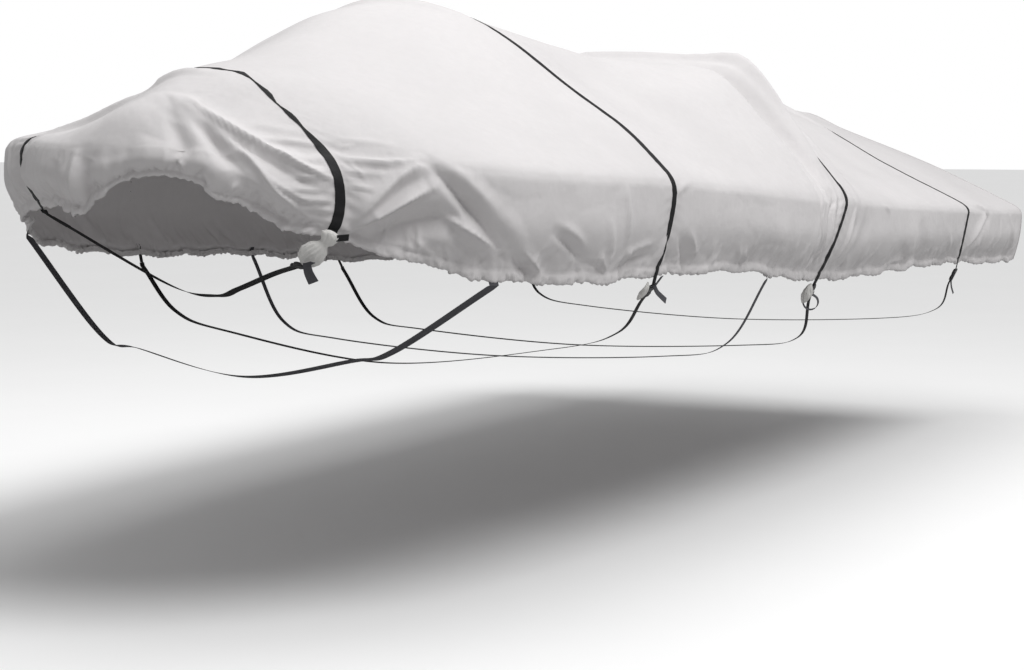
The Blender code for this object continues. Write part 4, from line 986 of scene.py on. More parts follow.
class ClothSide:
    """One side of the cloth: coarse rows from the fine rows' top up to the middle of the deck, and
    fine rows below them down to the hem. Each has points, outward normals and cloth coordinates."""

    def __init__(self, side, looks):
        self.side = side
        self.places, self.first = fine_places(looks)
        skirt = np.linspace(HEM_SHARE, 0.0, SKIRT_ROWS + 1)[:-1]
        deck = (np.arange(DECK_ROWS + 1) / DECK_ROWS) ** DECK_CROWDING
        self.upper = self.rows(self.places[::2], skirt, deck, looks)
        hem = 1 - (1 - HEM_SHARE) * (np.arange(HEM_ROWS + 1) / HEM_ROWS) ** HEM_CROWDING
        self.lower = self.rows(self.places, hem, np.array([]), looks)

    def rows(self, places, skirt, deck, looks):
        """A grid of the cloth at places along the rim, on the skirt and then on the deck."""
        along = np.repeat(places[:, None], len(skirt) + len(deck), axis=1)
        way = np.concatenate([-skirt, deck])[None].repeat(len(places), axis=0)
        below = way < 0
        points = np.empty(along.shape + (3,))
        out = np.empty_like(along)
        swayed = wandering(self.side, along[below], 0 * along[below], -way[below])
        points[below], drop = skirt_points(self.side, swayed, -way[below])
        out[below] = -drop
        if len(deck):
            _, distance = deck_points(self.side, along[~below], way[~below])
            drifted = wandering(self.side, along[~below], distance, 0 * distance)
            points[~below], out[~below] = deck_points(self.side, drifted, way[~below])
            relaxed(points, out)
        signed = self.side * along
        height = self.heights(points, signed, out, way, looks)
        points += normals_of(points, self.side) * height[..., None]
        return {"points": points, "normal": normals_of(points, self.side), "along": signed, "out": out}

    def heights(self, points, along, out, way, looks):
        """Height of every fold at the grid's points, calm where the transom's seam is."""
        flat = points.reshape(-1, 3)
        shape = along.shape
        total = crease_heights(along, out) + strap_puckers(along, out)
        slack = noise_at(flat, *SLACK) + 0.5 * noise_at(flat, *SLACK_FINER)
        below = eased(-out, -0.06, 0.05)
        total += looks.slack * slack.reshape(shape) * no_less(DECK_SLACK, below)
        small = noise_at(flat, *SMALL_WAVES).reshape(shape)
        low = eased(-way, 0.45, 0.9)
        total += WAVE_HEIGHT * small * (below + 0.8 * low)
        where = eased(noise_at(flat, *CRUMPLED).reshape(shape), -0.25, 0.35)
        folds = cell_creases(flat, *CRUMPLES).reshape(shape)
        streaks = noise_at(on_cloth(along.ravel(), out.ravel()), *STREAKS).reshape(shape)
        total += STREAK_HEIGHT * streaks * np.exp(-((out + STREAKS_BELOW) / STREAKS_BELOW) ** 2)
        total -= looks.crumple * folds * np.maximum(where, 0.7 * low) * (no_less(DECK_CRUMPLE, below)
                                                                         + 1.3 * low)
        down = np.maximum(-way.ravel(), 0.0)
        total += hem_gathers(along.ravel(), out.ravel(), down, looks).reshape(shape)
        total += elastic_pull(along.ravel(), down).reshape(shape)
        return total * eased(RIM_LENGTH - np.abs(along), 0.0, 0.07)

    def match_rows(self):
        """The top fine row takes the coarse row's points, and its other points lie half way between."""
        low = self.lower["points"]
        high = self.upper["points"]
        low[::2, -1] = high[:, 0]
        low[1::2, -1] = (high[:-1, 0] + high[1:, 0]) / 2

    def roll(self, looks):
        """Rows that turn the hem inwards round its elastic and up inside the skirt."""
        edge = self.lower["points"][:, 0]
        down = unit(edge - self.lower["points"][:, 1])
        inward = -self.lower["normal"][:, 0]
        inward = unit(inward - down * np.sum(inward * down, axis=-1, keepdims=True))
        ripple = noise_at(on_cloth(self.side * self.places), (2.6 / looks.gather_length, 1, 1), (5, 2, 8))
        radius = (looks.hem_radius * (1 + 0.7 * ripple))[:, None]
        rows = rolled_rows(edge, inward, down, radius)
        rows.append(rows[-1] - down * HEM_FOLDED_UP)
        self.hem = np.stack(rows, axis=1)


def joined_sides(looks):
    """Both sides of the cloth, with the same points along the middle of the boat and at the nose."""
    port = ClothSide(1, looks)
    lee = ClothSide(-1, looks)
    for name, pick in (("upper", np.s_[:, -1]), ("upper", np.s_[0]), ("lower", np.s_[0])):
        one = getattr(port, name)["points"]
        other = getattr(lee, name)["points"]
        mean = (one[pick] + other[pick]) / 2
        one[pick] = mean
        other[pick] = mean
    for side in (port, lee):
        side.match_rows()
        side.roll(looks)
    return port, lee


class SheetMesh:
    """Gathers the points and faces of a sheet, with the cloth coordinates of each face's corners."""

    def __init__(self):
        self.points = []
        self.faces = []
        self.coords = []

    def add(self, points):
        """Adds a grid of points and gives back their numbers in the same shape."""
        shape = points.shape[:-1]
        start = len(self.points)
        self.points.extend(points.reshape(-1, 3).tolist())
        return np.arange(start, start + int(np.prod(shape))).reshape(shape)

    def rings(self, corners, coords, flip):
        """Faces from arrays of corner numbers and of their cloth coordinates."""
        if flip:
            corners = corners[:, ::-1]
            coords = coords[:, ::-1]
        self.faces.extend(corners.tolist())
        self.coords.append(coords.reshape(-1, 2))

    def quads(self, grid, coords, flip):
        """Faces between the columns and rows of a grid."""
        picks = (np.s_[:-1, :-1], np.s_[1:, :-1], np.s_[1:, 1:], np.s_[:-1, 1:])
        corners = np.stack([grid[pick] for pick in picks], axis=-1).reshape(-1, 4)
        spots = np.stack([coords[pick] for pick in picks], axis=-2).reshape(-1, 4, 2)
        self.rings(corners, spots, flip)

    def make(self, name, mat):
        data = bpy.data.meshes.new(name)
        data.from_pydata(self.points, [], self.faces)
        layer = data.uv_layers.new(name="cloth")
        layer.data.foreach_set("uv", np.concatenate(self.coords).astype(np.float32).ravel())
        data.shade_smooth()
        data.materials.append(mat)
        return linked(bpy.data.objects.new(name, data))


def linked(obj):
    bpy.context.collection.objects.link(obj)
    return obj


def cloth_coords(grid):
    return np.stack([grid["along"], grid["out"]], axis=-1)


CASING_COORD = 0.004          # a rolled row's height in the cloth coordinates


def make_cloth(port, lee, looks, mat):
    """The deck and skirt of the cover in one sheet."""
    sheet = SheetMesh()
    shared = None
    for cloth in (port, lee):
        flip = cloth.side < 0
        high = sheet.add(cloth.upper["points"])
        low = sheet.add(np.concatenate([cloth.hem[:, ::-1], cloth.lower["points"]], axis=1))
        low[::2, -1] = high[:, 0]
        if shared is not None:
            high[:, -1] = shared[0][:, -1]
            high[0] = shared[0][0]
            low[0] = shared[1][0]
        shared = high, low
        high_coords = cloth_coords(cloth.upper)
        low_coords = cloth_coords(cloth.lower)
        rolled = np.repeat(low_coords[:, :1], cloth.hem.shape[1], axis=1)
        rolled[..., 1] -= CASING_COORD * np.arange(cloth.hem.shape[1], 0, -1)
        low_coords = np.concatenate([rolled, low_coords], axis=1)
        sheet.quads(low, low_coords, flip)
        sheet.quads(high[:, 1:], high_coords[:, 1:], flip)
        corners, spots = [[top[:-2:2, -1], top[1::2, -1], top[2::2, -1], upper[1:, 1], upper[:-1, 1]]
                          for top, upper in ((low, high), (low_coords, high_coords))]
        sheet.rings(np.stack(corners, axis=-1), np.stack(spots, axis=-2), flip)
    obj = sheet.make("cover_cloth", mat)
    drop_loose_points(obj)
    return obj


def drop_loose_points(obj):
    """Removes the points that the sheet's two sides left unused where they share a row."""
    mesh = bmesh.new()
    mesh.from_mesh(obj.data)
    bmesh.ops.delete(mesh, geom=[v for v in mesh.verts if not v.link_faces], context="VERTS")
    mesh.to_mesh(obj.data)
    mesh.free()


def face_outwards(obj):
    """Turns the faces of a closed piece outwards."""
    mesh = bmesh.new()
    mesh.from_mesh(obj.data)
    bmesh.ops.recalc_face_normals(mesh, faces=mesh.faces[:])
    mesh.to_mesh(obj.data)
    mesh.free()


def closed_piece(name, lines, around, along, mat):
    """A closed piece from lines of points all round it, with its cloth coordinates round and along."""
    sheet = SheetMesh()
    grid = sheet.add(lines)
    grid = np.concatenate([grid, grid[:1]], axis=0)
    sheet.quads(grid, np.stack(np.meshgrid(around, along, indexing="ij"), axis=-1), False)
    sheet.faces += [grid[:-1, 0].tolist()[::-1], grid[:-1, -1].tolist()]
    sheet.coords.append(np.zeros((2 * len(lines), 2)))
    obj = sheet.make(name, mat)
    face_outwards(obj)
    return obj


# ---------------------------------------------------------------- the panel at the transom
TRANSOM_COLUMNS = 180
TRANSOM_ROWS = 40
SEAM_CORD = 0.0035            # radius of the piped seam between the deck and the panel
SEAM_SIDES = 8
SEAM_OFF = 0.001              # the seam stands this far aft of the cloth's edge
PANEL_CORNER = 0.90           # past this share of the way out, the panel follows the skirt's last column
PANEL_NARROWS = 0.02          # share of its width that the panel loses at its hem
PANEL_WAVES = (0.004, 19.0)   # height of the hem's waves and their radians to a metre
PANEL_RIPPLE = (0.010, 14.0)  # and those of the panel in and out
PANEL_GATHERS = 20.0          # where the panel's gathers start, far from those of the skirt


def stern_edge(port, lee):
    """Last points of the deck from the port corner to the lee corner."""
    start = SKIRT_ROWS
    one = port.upper["points"][-1, start:]
    other = lee.upper["points"][-1, start:]
    return np.concatenate([one, other[-2::-1]])


def panel_points(port, lee):
    """Points of the panel from its hem, where way is 1, up to the deck, and how far out each is."""
    edge = stern_edge(port, lee)[::-1]
    u = np.linspace(-1.0, 1.0, TRANSOM_COLUMNS + 1)[:, None]
    way = np.linspace(1.0, 0.0, TRANSOM_ROWS + 1)[None]
    across = edge[0, 0] + (edge[-1, 0] - edge[0, 0]) * (u + 1) / 2
    top_y = np.interp(across, edge[:, 0], edge[:, 1])
    top_z = np.interp(across, edge[:, 0], edge[:, 2])
    corner = np.mean([side.lower["points"][-1, 0, 2] for side in (port, lee)])
    arch = 0.5 + 0.5 * np.cos(math.pi * np.minimum(np.abs(across) / TRANSOM_ARCH_HALF, 1.0))
    hem = corner + TRANSOM_ARCH * arch + PANEL_WAVES[0] * np.sin(PANEL_WAVES[1] * across)
    ripple = PANEL_RIPPLE[0] * np.sin(PANEL_RIPPLE[1] * across + 1.0) * way
    off = BACK_BULGE * np.sin(math.pi * way) - BACK_TUCK * way**2
    x = across * (1 - PANEL_NARROWS * way * np.abs(across) / RIM[-1].half_beam)
    y = top_y + off + ripple
    z = top_z + (hem - top_z) * way
    points = np.stack([x, y + 0 * x, z + 0 * x], axis=-1)
    for cloth, outer in ((port, u), (lee, -u)):
        spot, _ = skirt_points(cloth.side, np.full(way.size, RIM_LENGTH), way.ravel())
        points += (spot[None] - points) * eased(outer, PANEL_CORNER, 1.0)[..., None]
    return points, u, way, across


def make_transom(port, lee, looks, mat):
    """The panel behind the stern, hemmed in an arch round the engine."""
    points, u, way, across = panel_points(port, lee)
    flat = points.reshape(-1, 3)
    shape = points.shape[:-1]
    slack = noise_at(flat, *PANEL_SLACK).reshape(shape)
    folds = cell_creases(flat, *PANEL_CRUMPLES).reshape(shape)
    far = (across + PANEL_GATHERS + 0 * way).ravel()
    gathers = hem_gathers(far, points[..., 2].ravel(), (way + 0 * u).ravel(), looks).reshape(shape)
    height = 2.2 * looks.slack * slack - looks.crumple * folds + gathers
    height = height * eased(1 - np.abs(u), 0.0, 0.10) * eased(way, 0.0, 0.10)
    points += -normals_of(points, 1) * height[..., None]
    down = unit(points[:, 0] - points[:, 1])
    inward = unit(np.cross(np.gradient(points[:, 0], axis=0), down))
    rolled = rolled_rows(points[:, 0], inward, down, looks.hem_radius)
    points = np.concatenate([np.stack(rolled[::-1], axis=1), points], axis=1)
    sheet = SheetMesh()
    sheet.quads(sheet.add(points), np.stack([points[..., 0], points[..., 2]], axis=-1), True)
    return sheet.make("transom_cloth", mat)


def tube(name, line, radius, sides, mat):
    """A round cord along a row of points, with its length as cloth coordinates."""
    ahead = unit(np.gradient(line, axis=0))
    across = unit(np.cross(ahead, np.array(AFT)))
    up = np.cross(across, ahead)
    angle = np.linspace(0.0, 2 * math.pi, sides + 1)[:-1, None, None]
    rings = line + radius * (across * np.cos(angle) + up * np.sin(angle))
    return closed_piece(name, rings, np.linspace(0.0, 2 * math.pi * radius, sides + 1), distances(line), mat)


def make_stern_seam(port, lee, mat):
    """The piped seam that joins the panel to the deck and to both sides of the skirt."""
    one, other = [np.concatenate([cloth.lower["points"][-1, :-1], cloth.upper["points"][-1, :SKIRT_ROWS]])
                  for cloth in (port, lee)]
    line = np.concatenate([one, stern_edge(port, lee), other[::-1]]) + SEAM_OFF * np.array(AFT)
    return tube("stern_seam", line, SEAM_CORD, SEAM_SIDES, mat)


# ---------------------------------------------------------------- webbing
WEBBING_ROUND = 0.4           # rounding of the webbing's edges, as a share of its thickness
WEBBING_EDGE = 0.004          # width that a rounded edge takes in the cloth coordinates
SMOOTH_UNDER = math.radians(38)


def ribbon(name, sections, mat):
    """A flat strap with rounded edges. Each section has its left edge, middle, right edge and face."""
    left, middle, right, face = [np.array([section[k] for section in sections], float) for k in range(4)]
    up = unit(face) * (WEBBING / 2)
    width = np.linalg.norm(right - left, axis=-1, keepdims=True)
    soft = (right - left) / width * (WEBBING_ROUND * WEBBING)
    columns = [left, left + soft + up, middle + up, right - soft + up,
               right, right - soft - up, middle - up, left + soft - up]
    half = float(np.mean(width)) / 2
    aside = [-half, WEBBING_EDGE - half, 0.0, half - WEBBING_EDGE]
    aside += [half] + aside[:0:-1] + aside[:1]
    obj = closed_piece(name, np.stack(columns), aside, distances(middle), mat)
    select_only(obj)
    bpy.ops.object.shade_smooth_by_angle(angle=SMOOTH_UNDER)
    return obj


def deselect():
    bpy.ops.object.select_all(action="DESELECT")


def select_only(obj):
    deselect()
    obj.select_set(True)
    bpy.context.view_layer.objects.active = obj


def drawn_to(section, share):
    """The section with its width drawn in to a share."""
    left, middle, right, face = section
    return middle + (left - middle) * share, middle, middle + (right - middle) * share, face


def strip_sections(cloth, name, lift, rows=None):
    """Sections of webbing on its own columns of the cloth, from the hem up."""
    i = cloth.first[name]
    low = np.s_[i:i + STRAP_COLUMNS + 1:STRAP_COLUMNS // 2, :-1]
    high = np.s_[i // 2:i // 2 + STRAP_COLUMNS // 2 + 1]
    points = np.concatenate([cloth.lower["points"][low], cloth.upper["points"][high]], axis=1)
    normals = np.concatenate([cloth.lower["normal"][low], cloth.upper["normal"][high]], axis=1)
    out = []
    for k in range(points.shape[1])[:rows]:
        left, middle, right = [Vector(p) for p in points[:, k]]
        face = Vector(normals[:, k].sum(axis=0)).normalized()
        inset = (right - left).normalized() * STRAP_INSET
        out.append((left + inset + face * lift, middle + face * lift, right - inset + face * lift, face))
    return out


def carried_on(section, before, length):
    """A square section past the last one, in the direction that the strap runs."""
    way = (section[1] - before[1]).normalized()
    across = section[2] - section[0]
    half = (across - way * across.dot(way)).normalized() * (across.length / 2)
    face = way.cross(half)
    if face.dot(section[3]) < 0:
        face = -face
    end = section[1] + way * length
    return (end - half, end, end + half, face)


def foot_of(sections):
    """Middle of a strap's first section, the way it runs there and its face."""
    near, far = sections[0], sections[1]
    return near[1], (near[1] - far[1]).normalized(), near[3].normalized()


SCALLOP = 0.22                # share of the width that comes and goes where the stitching pulls most,
FULL_WANDER = 0.0022          # which is where the webbing wanders by this much
SCALLOP_LENGTH = 0.075


def drawn_narrow(strap, cloth, sections):
    """Draws the webbing in, most on the deck, where the stitching pulls its edges into scallops."""
    i = cloth.first[strap.name] // 2
    skirt = len(sections) - cloth.upper["out"].shape[1]
    outs = np.concatenate([np.full(skirt, -1.0), cloth.upper["out"][i]])
    result = []
    for out, section in zip(outs, sections):
        share = strap.hang + (strap.narrow - strap.hang) * float(eased(out, -0.005, 0.060))
        scallop = strap.wander / FULL_WANDER * SCALLOP * math.sin(2 * math.pi * out / SCALLOP_LENGTH)
        share += scallop * float(eased(out, 0.02, 0.10))
        result.append(drawn_to(section, share))
    return result


def make_deck_strap(strap, port, lee, mat):
    """Webbing sewn over the boat; gives back the piece and its port and lee feet."""
    sides_of = []
    for cloth, foot in ((port, strap.foot), (lee, strap.lee_foot)):
        rows = strip_sections(cloth, strap.name, WEBBING_GAP + WEBBING / 2)
        rows = drawn_narrow(strap, cloth, rows)
        sides_of.append([carried_on(rows[0], rows[RUN_ROWS], foot)] + rows)
    one, other = sides_of
    obj = ribbon(strap.name, one + other[-2::-1], mat)
    return obj, (foot_of(one), foot_of(other))


def line_sections(points, width, across):
    """Sections along free points; across is the way the strap's width lies."""
    out = []
    for k, point in enumerate(points):
        ahead = points[min(k + 1, len(points) - 1)] - points[max(k - 1, 0)]
        side = (across - ahead * (across.dot(ahead) / ahead.length_squared)).normalized() * (width / 2)
        out.append((point - side, point, point + side, ahead.cross(side).normalized()))
    return out


def hull_points(tie, port, lee):
    """The points that a tie bends round below the hull, port side first."""
    def on_hull(x, height, end):
        shift = tie.keel_shift * (1 - abs(x) / max(abs(end.x), 0.01))
        return Vector(to_part(x, tie.station + shift, height))
    return [
        on_hull(tie.chine_x, tie.chine_h, port),
        on_hull(tie.bilge_x, tie.bilge_h, port),
        Vector(to_part(0.0, tie.station + tie.keel_shift, tie.keel_h)),
        on_hull(-tie.bilge_x, tie.bilge_h, lee),
        on_hull(-tie.lee_x, tie.lee_h, lee),
    ]


def tie_steps(looks):
    return max(4, round(TIE_SPAN / looks.step))


def across_of(tie):
    """The way a tie's width lies."""
    return Vector((tie.turn, 1.0, -tie.turn)).normalized()


def make_plain_tie(tie, port, lee, looks, mat):
    """A tie whose two ends are sewn inside the hem."""
    lift = -(SEWN_INSIDE + WEBBING / 2)
    one = strip_sections(port, tie.name, lift, SEWN_ROWS)
    other = strip_sections(lee, tie.name, lift, SEWN_ROWS)
    start = carried_on(one[0], one[RUN_ROWS], STRAIGHT_END)
    end = carried_on(other[0], other[RUN_ROWS], STRAIGHT_END)
    middle = smooth_line([start[1]] + hull_points(tie, start[1], end[1]) + [end[1]], tie_steps(looks))
    sections = line_sections(middle, tie.width - 2 * STRAP_INSET, across_of(tie))[1:-1]
    turned = [(c, b, a, face) for a, b, c, face in one[::-1] + [start]]
    back = [(c, b, a, face) for a, b, c, face in [end] + other]
    return ribbon(tie.name, matched(turned + sections + back), mat)


def matched(sections):
    """Turns over each section that faces or lies against the one before."""
    out = [sections[0]]
    for left, middle, right, face in sections[1:]:
        if (right - left).dot(out[-1][2] - out[-1][0]) < 0:
            left, right = right, left
        if face.dot(out[-1][3]) < 0:
            face = -face
        out.append((left, middle, right, face))
    return out


# ---------------------------------------------------------------- buckle, free ends and gather
def pick_faces(low, high):
    """Selects the buckle's front and back faces between two places along it, in edit mode."""
    mesh = bmesh.from_edit_mesh(bpy.context.object.data)
    mesh.normal_update()
    for face in mesh.faces:
        place = face.calc_center_median().x / BUCKLE_LENGTH
        face.select_set(abs(face.normal.z) > 0.9 and low < place < high)


def resize_points(mesh, test, value):
    """Resizes the points whose place along the buckle passes a test, in edit mode."""
    for vert in mesh.verts:
        vert.select_set(test(vert.co.x / BUCKLE_LENGTH))
    mesh.select_flush_mode()
    bpy.ops.transform.resize(value=value)


def edit(obj):
    select_only(obj)
    bpy.ops.object.mode_set(mode="EDIT")
    bpy.ops.mesh.select_mode(type="FACE")


def cut_slot(obj, place, size):
    """Cuts a straight slot through the buckle with a Boolean."""
    deselect()
    bpy.ops.mesh.primitive_cube_add(size=1.0, location=place, scale=size)
    cutter = bpy.context.object
    bpy.ops.object.transform_apply(location=True, rotation=False, scale=True)
    select_only(obj)
    slot = obj.modifiers.new("slot", "BOOLEAN")
    slot.operation = "DIFFERENCE"
    slot.solver = "EXACT"
    slot.object = cutter
    bpy.ops.object.modifier_apply(modifier=slot.name)
    bpy.data.objects.remove(cutter, do_unlink=True)


def model_buckle(looks, mat):
    """A side-release buckle at the origin: its length on X, its width on Y and its face up."""
    deselect()
    bpy.ops.mesh.primitive_cube_add(size=1.0, scale=(BUCKLE_LENGTH, BUCKLE_WIDTH, BUCKLE_DEPTH))
    obj = bpy.context.object
    obj.name = "buckle_master"
    bpy.ops.object.transform_apply(location=False, rotation=False, scale=True)
    edit(obj)
    for share in BUCKLE_CUTS:
        bpy.ops.mesh.select_all(action="SELECT")
        bpy.ops.mesh.bisect(plane_co=(share * BUCKLE_LENGTH, 0, 0), plane_no=(1, 0, 0))
    mesh = bmesh.from_edit_mesh(obj.data)
    bpy.ops.mesh.select_mode(type="VERT")
    resize_points(mesh, lambda at: BUCKLE_WAIST[0] < at < BUCKLE_WAIST[1], BUCKLE_WAIST_SIZE)
    resize_points(mesh, lambda at: abs(at) > BUCKLE_ENDS, BUCKLE_END_SIZE)
    bpy.ops.mesh.select_mode(type="FACE")
    for low, high, rim, depth in BUCKLE_RECESSES:
        pick_faces(low, high)
        bpy.ops.mesh.inset(thickness=rim, depth=-depth)
    bpy.ops.object.mode_set(mode="OBJECT")
    for share in BUCKLE_SLOTS:
        cut_slot(obj, (share * BUCKLE_LENGTH, 0.0, 0.0), BUCKLE_SLOT)
    soft = obj.modifiers.new("edge", "BEVEL")
    soft.width = looks.edge
    soft.segments = 3
    soft.limit_method = "ANGLE"
    soft.angle_limit = math.radians(35)
    bpy.ops.object.modifier_apply(modifier=soft.name)
    bpy.ops.object.shade_smooth_by_angle(angle=math.radians(40))
    obj.data.materials.clear()
    obj.data.materials.append(mat)
    return obj


def placed_copy(master, name, middle, along, face):
    """A copy of the master with its own mesh, laid along its strap."""
    across = face.cross(along).normalized()
    up = along.cross(across)
    data = master.data.copy()
    data.name = name
    turn = Matrix((along, across, up)).transposed().to_4x4()
    data.transform(Matrix.Translation(middle) @ turn)
    return linked(bpy.data.objects.new(name, data))


def make_tail(tie, middle, along, face, mat):
    """The free end of the tie, lying over its buckle and hanging past it."""
    across = along.cross(face).normalized()
    shape = next(row for row in TAILS if row.tie == tie.name)
    start = middle - along * shape.back + face * (BUCKLE_DEPTH / 2 + WEBBING_GAP + WEBBING / 2)
    line = [start + along * reach for reach in TAIL_LIES]
    if shape.loop > 0:
        hub = line[3] - LOOP_ACROSS * (LOOP_BACK * shape.loop) - shape.loop * Vector((0, 0, 1))
        for degrees in LOOP_TURNS:
            turn = math.radians(degrees)
            line.append(hub + shape.loop * (LOOP_ACROSS * math.cos(turn) + Vector((0, 0, math.sin(turn)))))
    else:
        for share in TAIL_HANGS:
            drift = face * shape.lift + AFT * shape.aft
            line.append(line[2] + along * TAIL_LEAD + DOWN * (share * shape.length) + drift * share**1.5)
    sections = matched(line_sections(smooth_line(line, TAIL_STEPS), tie.width - TAIL_NARROWER, across))
    grown = []
    for k, section in enumerate(sections):
        share = TAIL_START + (shape.spread - TAIL_START) * k / (len(sections) - 1)
        grown.append(drawn_to(section, share))
    return ribbon(tie.name + "_tail", grown, mat)


BUNDLE_STEPS = 20             # rings to each span of a bundle's middle line
BUNDLE_ROUND = 0.16           # its girth in the cloth coordinates
PLEAT_DEPTH = 0.11            # shares of the radius that the pleats and the rough noise take
BUNDLE_ROUGH = 0.22


def make_gather(name, table, length, start, first_way, then_way, face, looks, mat):
    """Slack cloth of the hem, drawn up by its cord into puffed lobes full of pleats."""
    bend = start + first_way * GATHER_BEND
    turns = [start, bend, bend + then_way * (0.5 * length), bend + then_way * length]
    line = smooth_line(turns, BUNDLE_STEPS)
    rings = []
    sides = 12 * looks.pleats
    run = np.linspace(0.0, 1.0, len(line))
    swell = through(column_of(table, "way"), column_of(table, "radius"), run)
    angle = np.arange(sides) * 2 * math.pi / sides
    for k, centre in enumerate(line):
        along = (line[min(k + 1, len(line) - 1)] - line[max(k - 1, 0)]).normalized()
        across = along.cross(face).normalized()
        up = across.cross(along)
        drift = 1.1 * np.sin(2 * angle + 5 * run[k]) + 0.8 * math.sin(7 * run[k])
        pleat = np.abs(np.sin(looks.pleats * angle / 2 + drift))
        spots = np.stack([1.7 * np.cos(angle), 1.7 * np.sin(angle), 0 * angle + 3.4 * run[k]], axis=-1)
        rough = noise_at(spots, *BUNDLE) + 0.5 * noise_at(spots, *BUNDLE_FINER)
        radius = swell[k] * (0.90 + PLEAT_DEPTH * pleat + BUNDLE_ROUGH * rough)
        rings.append([np.array(centre) + np.array(across) * r * math.cos(a)
                      + np.array(up) * GATHER_FLAT * r * math.sin(a) for r, a in zip(radius, angle)])
    lines = np.array(rings).transpose(1, 0, 2)
    obj = closed_piece(name, lines, np.linspace(0.0, BUNDLE_ROUND, sides + 1), run * length, mat)
    return obj, line[-1], (line[-1] - line[-2]).normalized()


# ---------------------------------------------------------------- finishes
def new_group(name, inputs, outputs):
    """A shader node group with named inputs and outputs; gives back it and its two end nodes."""
    group = bpy.data.node_groups.new(name, "ShaderNodeTree")
    for label, kind, value in inputs:
        socket = group.interface.new_socket(name=label, in_out="INPUT", socket_type=kind)
        if value is not None:
            socket.default_value = value
    for label, kind in outputs:
        group.interface.new_socket(name=label, in_out="OUTPUT", socket_type=kind)
    return group, group.nodes.new("NodeGroupInput"), group.nodes.new("NodeGroupOutput")


def feed(tree, node, **inputs):
    """Feeds a node's inputs, named with _ for a space, with other nodes' sockets or with values."""
    for name, value in inputs.items():
        put(tree, node.inputs[name.replace("_", " ")], value)
    return node


def put(tree, socket, value):
    if isinstance(value, bpy.types.NodeSocket):
        tree.links.new(value, socket)
    else:
        socket.default_value = value


def add_node(tree, kind, **inputs):
    return feed(tree, tree.nodes.new("ShaderNode" + kind), **inputs)


def maths(tree, kind, *values):
    """A Math node fed by sockets or numbers; gives back its result."""
    node = add_node(tree, "Math")
    node.operation = kind
    for k, value in enumerate(values):
        put(tree, node.inputs[k], value)
    return node.outputs[0]


def woven_threads():
    """Plain weave: threads of one pitch that pass over and under each other."""
    group, start, end = new_group(
        "woven threads",
        [("Vector", "NodeSocketVector", None), ("Across", "NodeSocketFloat", 0.001),
         ("Along", "NodeSocketFloat", 0.001)],
        [("Height", "NodeSocketFloat")])
    parts = add_node(group, "SeparateXYZ", Vector=start.outputs["Vector"])
    waves = []
    for axis, pitch in enumerate(("Across", "Along")):
        turns = maths(group, "DIVIDE", parts.outputs[axis], start.outputs[pitch])
        waves.append(maths(group, "SINE", maths(group, "MULTIPLY", turns, 2 * math.pi)))
    over = maths(group, "MULTIPLY", *waves)
    feed(group, end, Height=maths(group, "MULTIPLY_ADD", over, 0.5, 0.5))
    return group


def soft_patches():
    """Slow mottling with finer grain inside it, for fading and handling marks."""
    group, start, end = new_group(
        "soft patches",
        [("Vector", "NodeSocketVector", None), ("Size", "NodeSocketFloat", 3.0),
         ("Low", "NodeSocketFloat", 0.0), ("High", "NodeSocketFloat", 1.0)],
        [("Mask", "NodeSocketFloat")])
    given = start.outputs
    cloud = add_node(group, "TexNoise", Vector=given["Vector"], Scale=given["Size"], Detail=6.0,
                     Roughness=0.62)
    spread = add_node(group, "MapRange", Value=cloud.outputs[0], From_Min=0.32, From_Max=0.68,
                      To_Min=given["Low"], To_Max=given["High"])
    feed(group, end, Mask=spread.outputs[0])
    return group


STITCH_SHARE = 0.68           # share of the pitch that a stitch's thread lies on top


def stitch_row():
    """A row of stitches at a distance from the middle line of the cloth coordinates' first axis."""
    group, start, end = new_group(
        "stitch row",
        [("Vector", "NodeSocketVector", None), ("Off middle", "NodeSocketFloat", 0.01),
         ("Stitch", "NodeSocketFloat", 0.004), ("Thread", "NodeSocketFloat", 0.0006)],
        [("Mask", "NodeSocketFloat")])
    given = start.outputs
    parts = add_node(group, "SeparateXYZ", Vector=given["Vector"])
    aside = maths(group, "ABSOLUTE", parts.outputs[0])
    far = maths(group, "ABSOLUTE", maths(group, "SUBTRACT", aside, given["Off middle"]))
    on_row = maths(group, "LESS_THAN", far, given["Thread"])
    turns = maths(group, "DIVIDE", parts.outputs[1], given["Stitch"])
    on_stitch = maths(group, "LESS_THAN", maths(group, "FRACT", turns), STITCH_SHARE)
    feed(group, end, Mask=maths(group, "MULTIPLY", on_row, on_stitch))
    return group


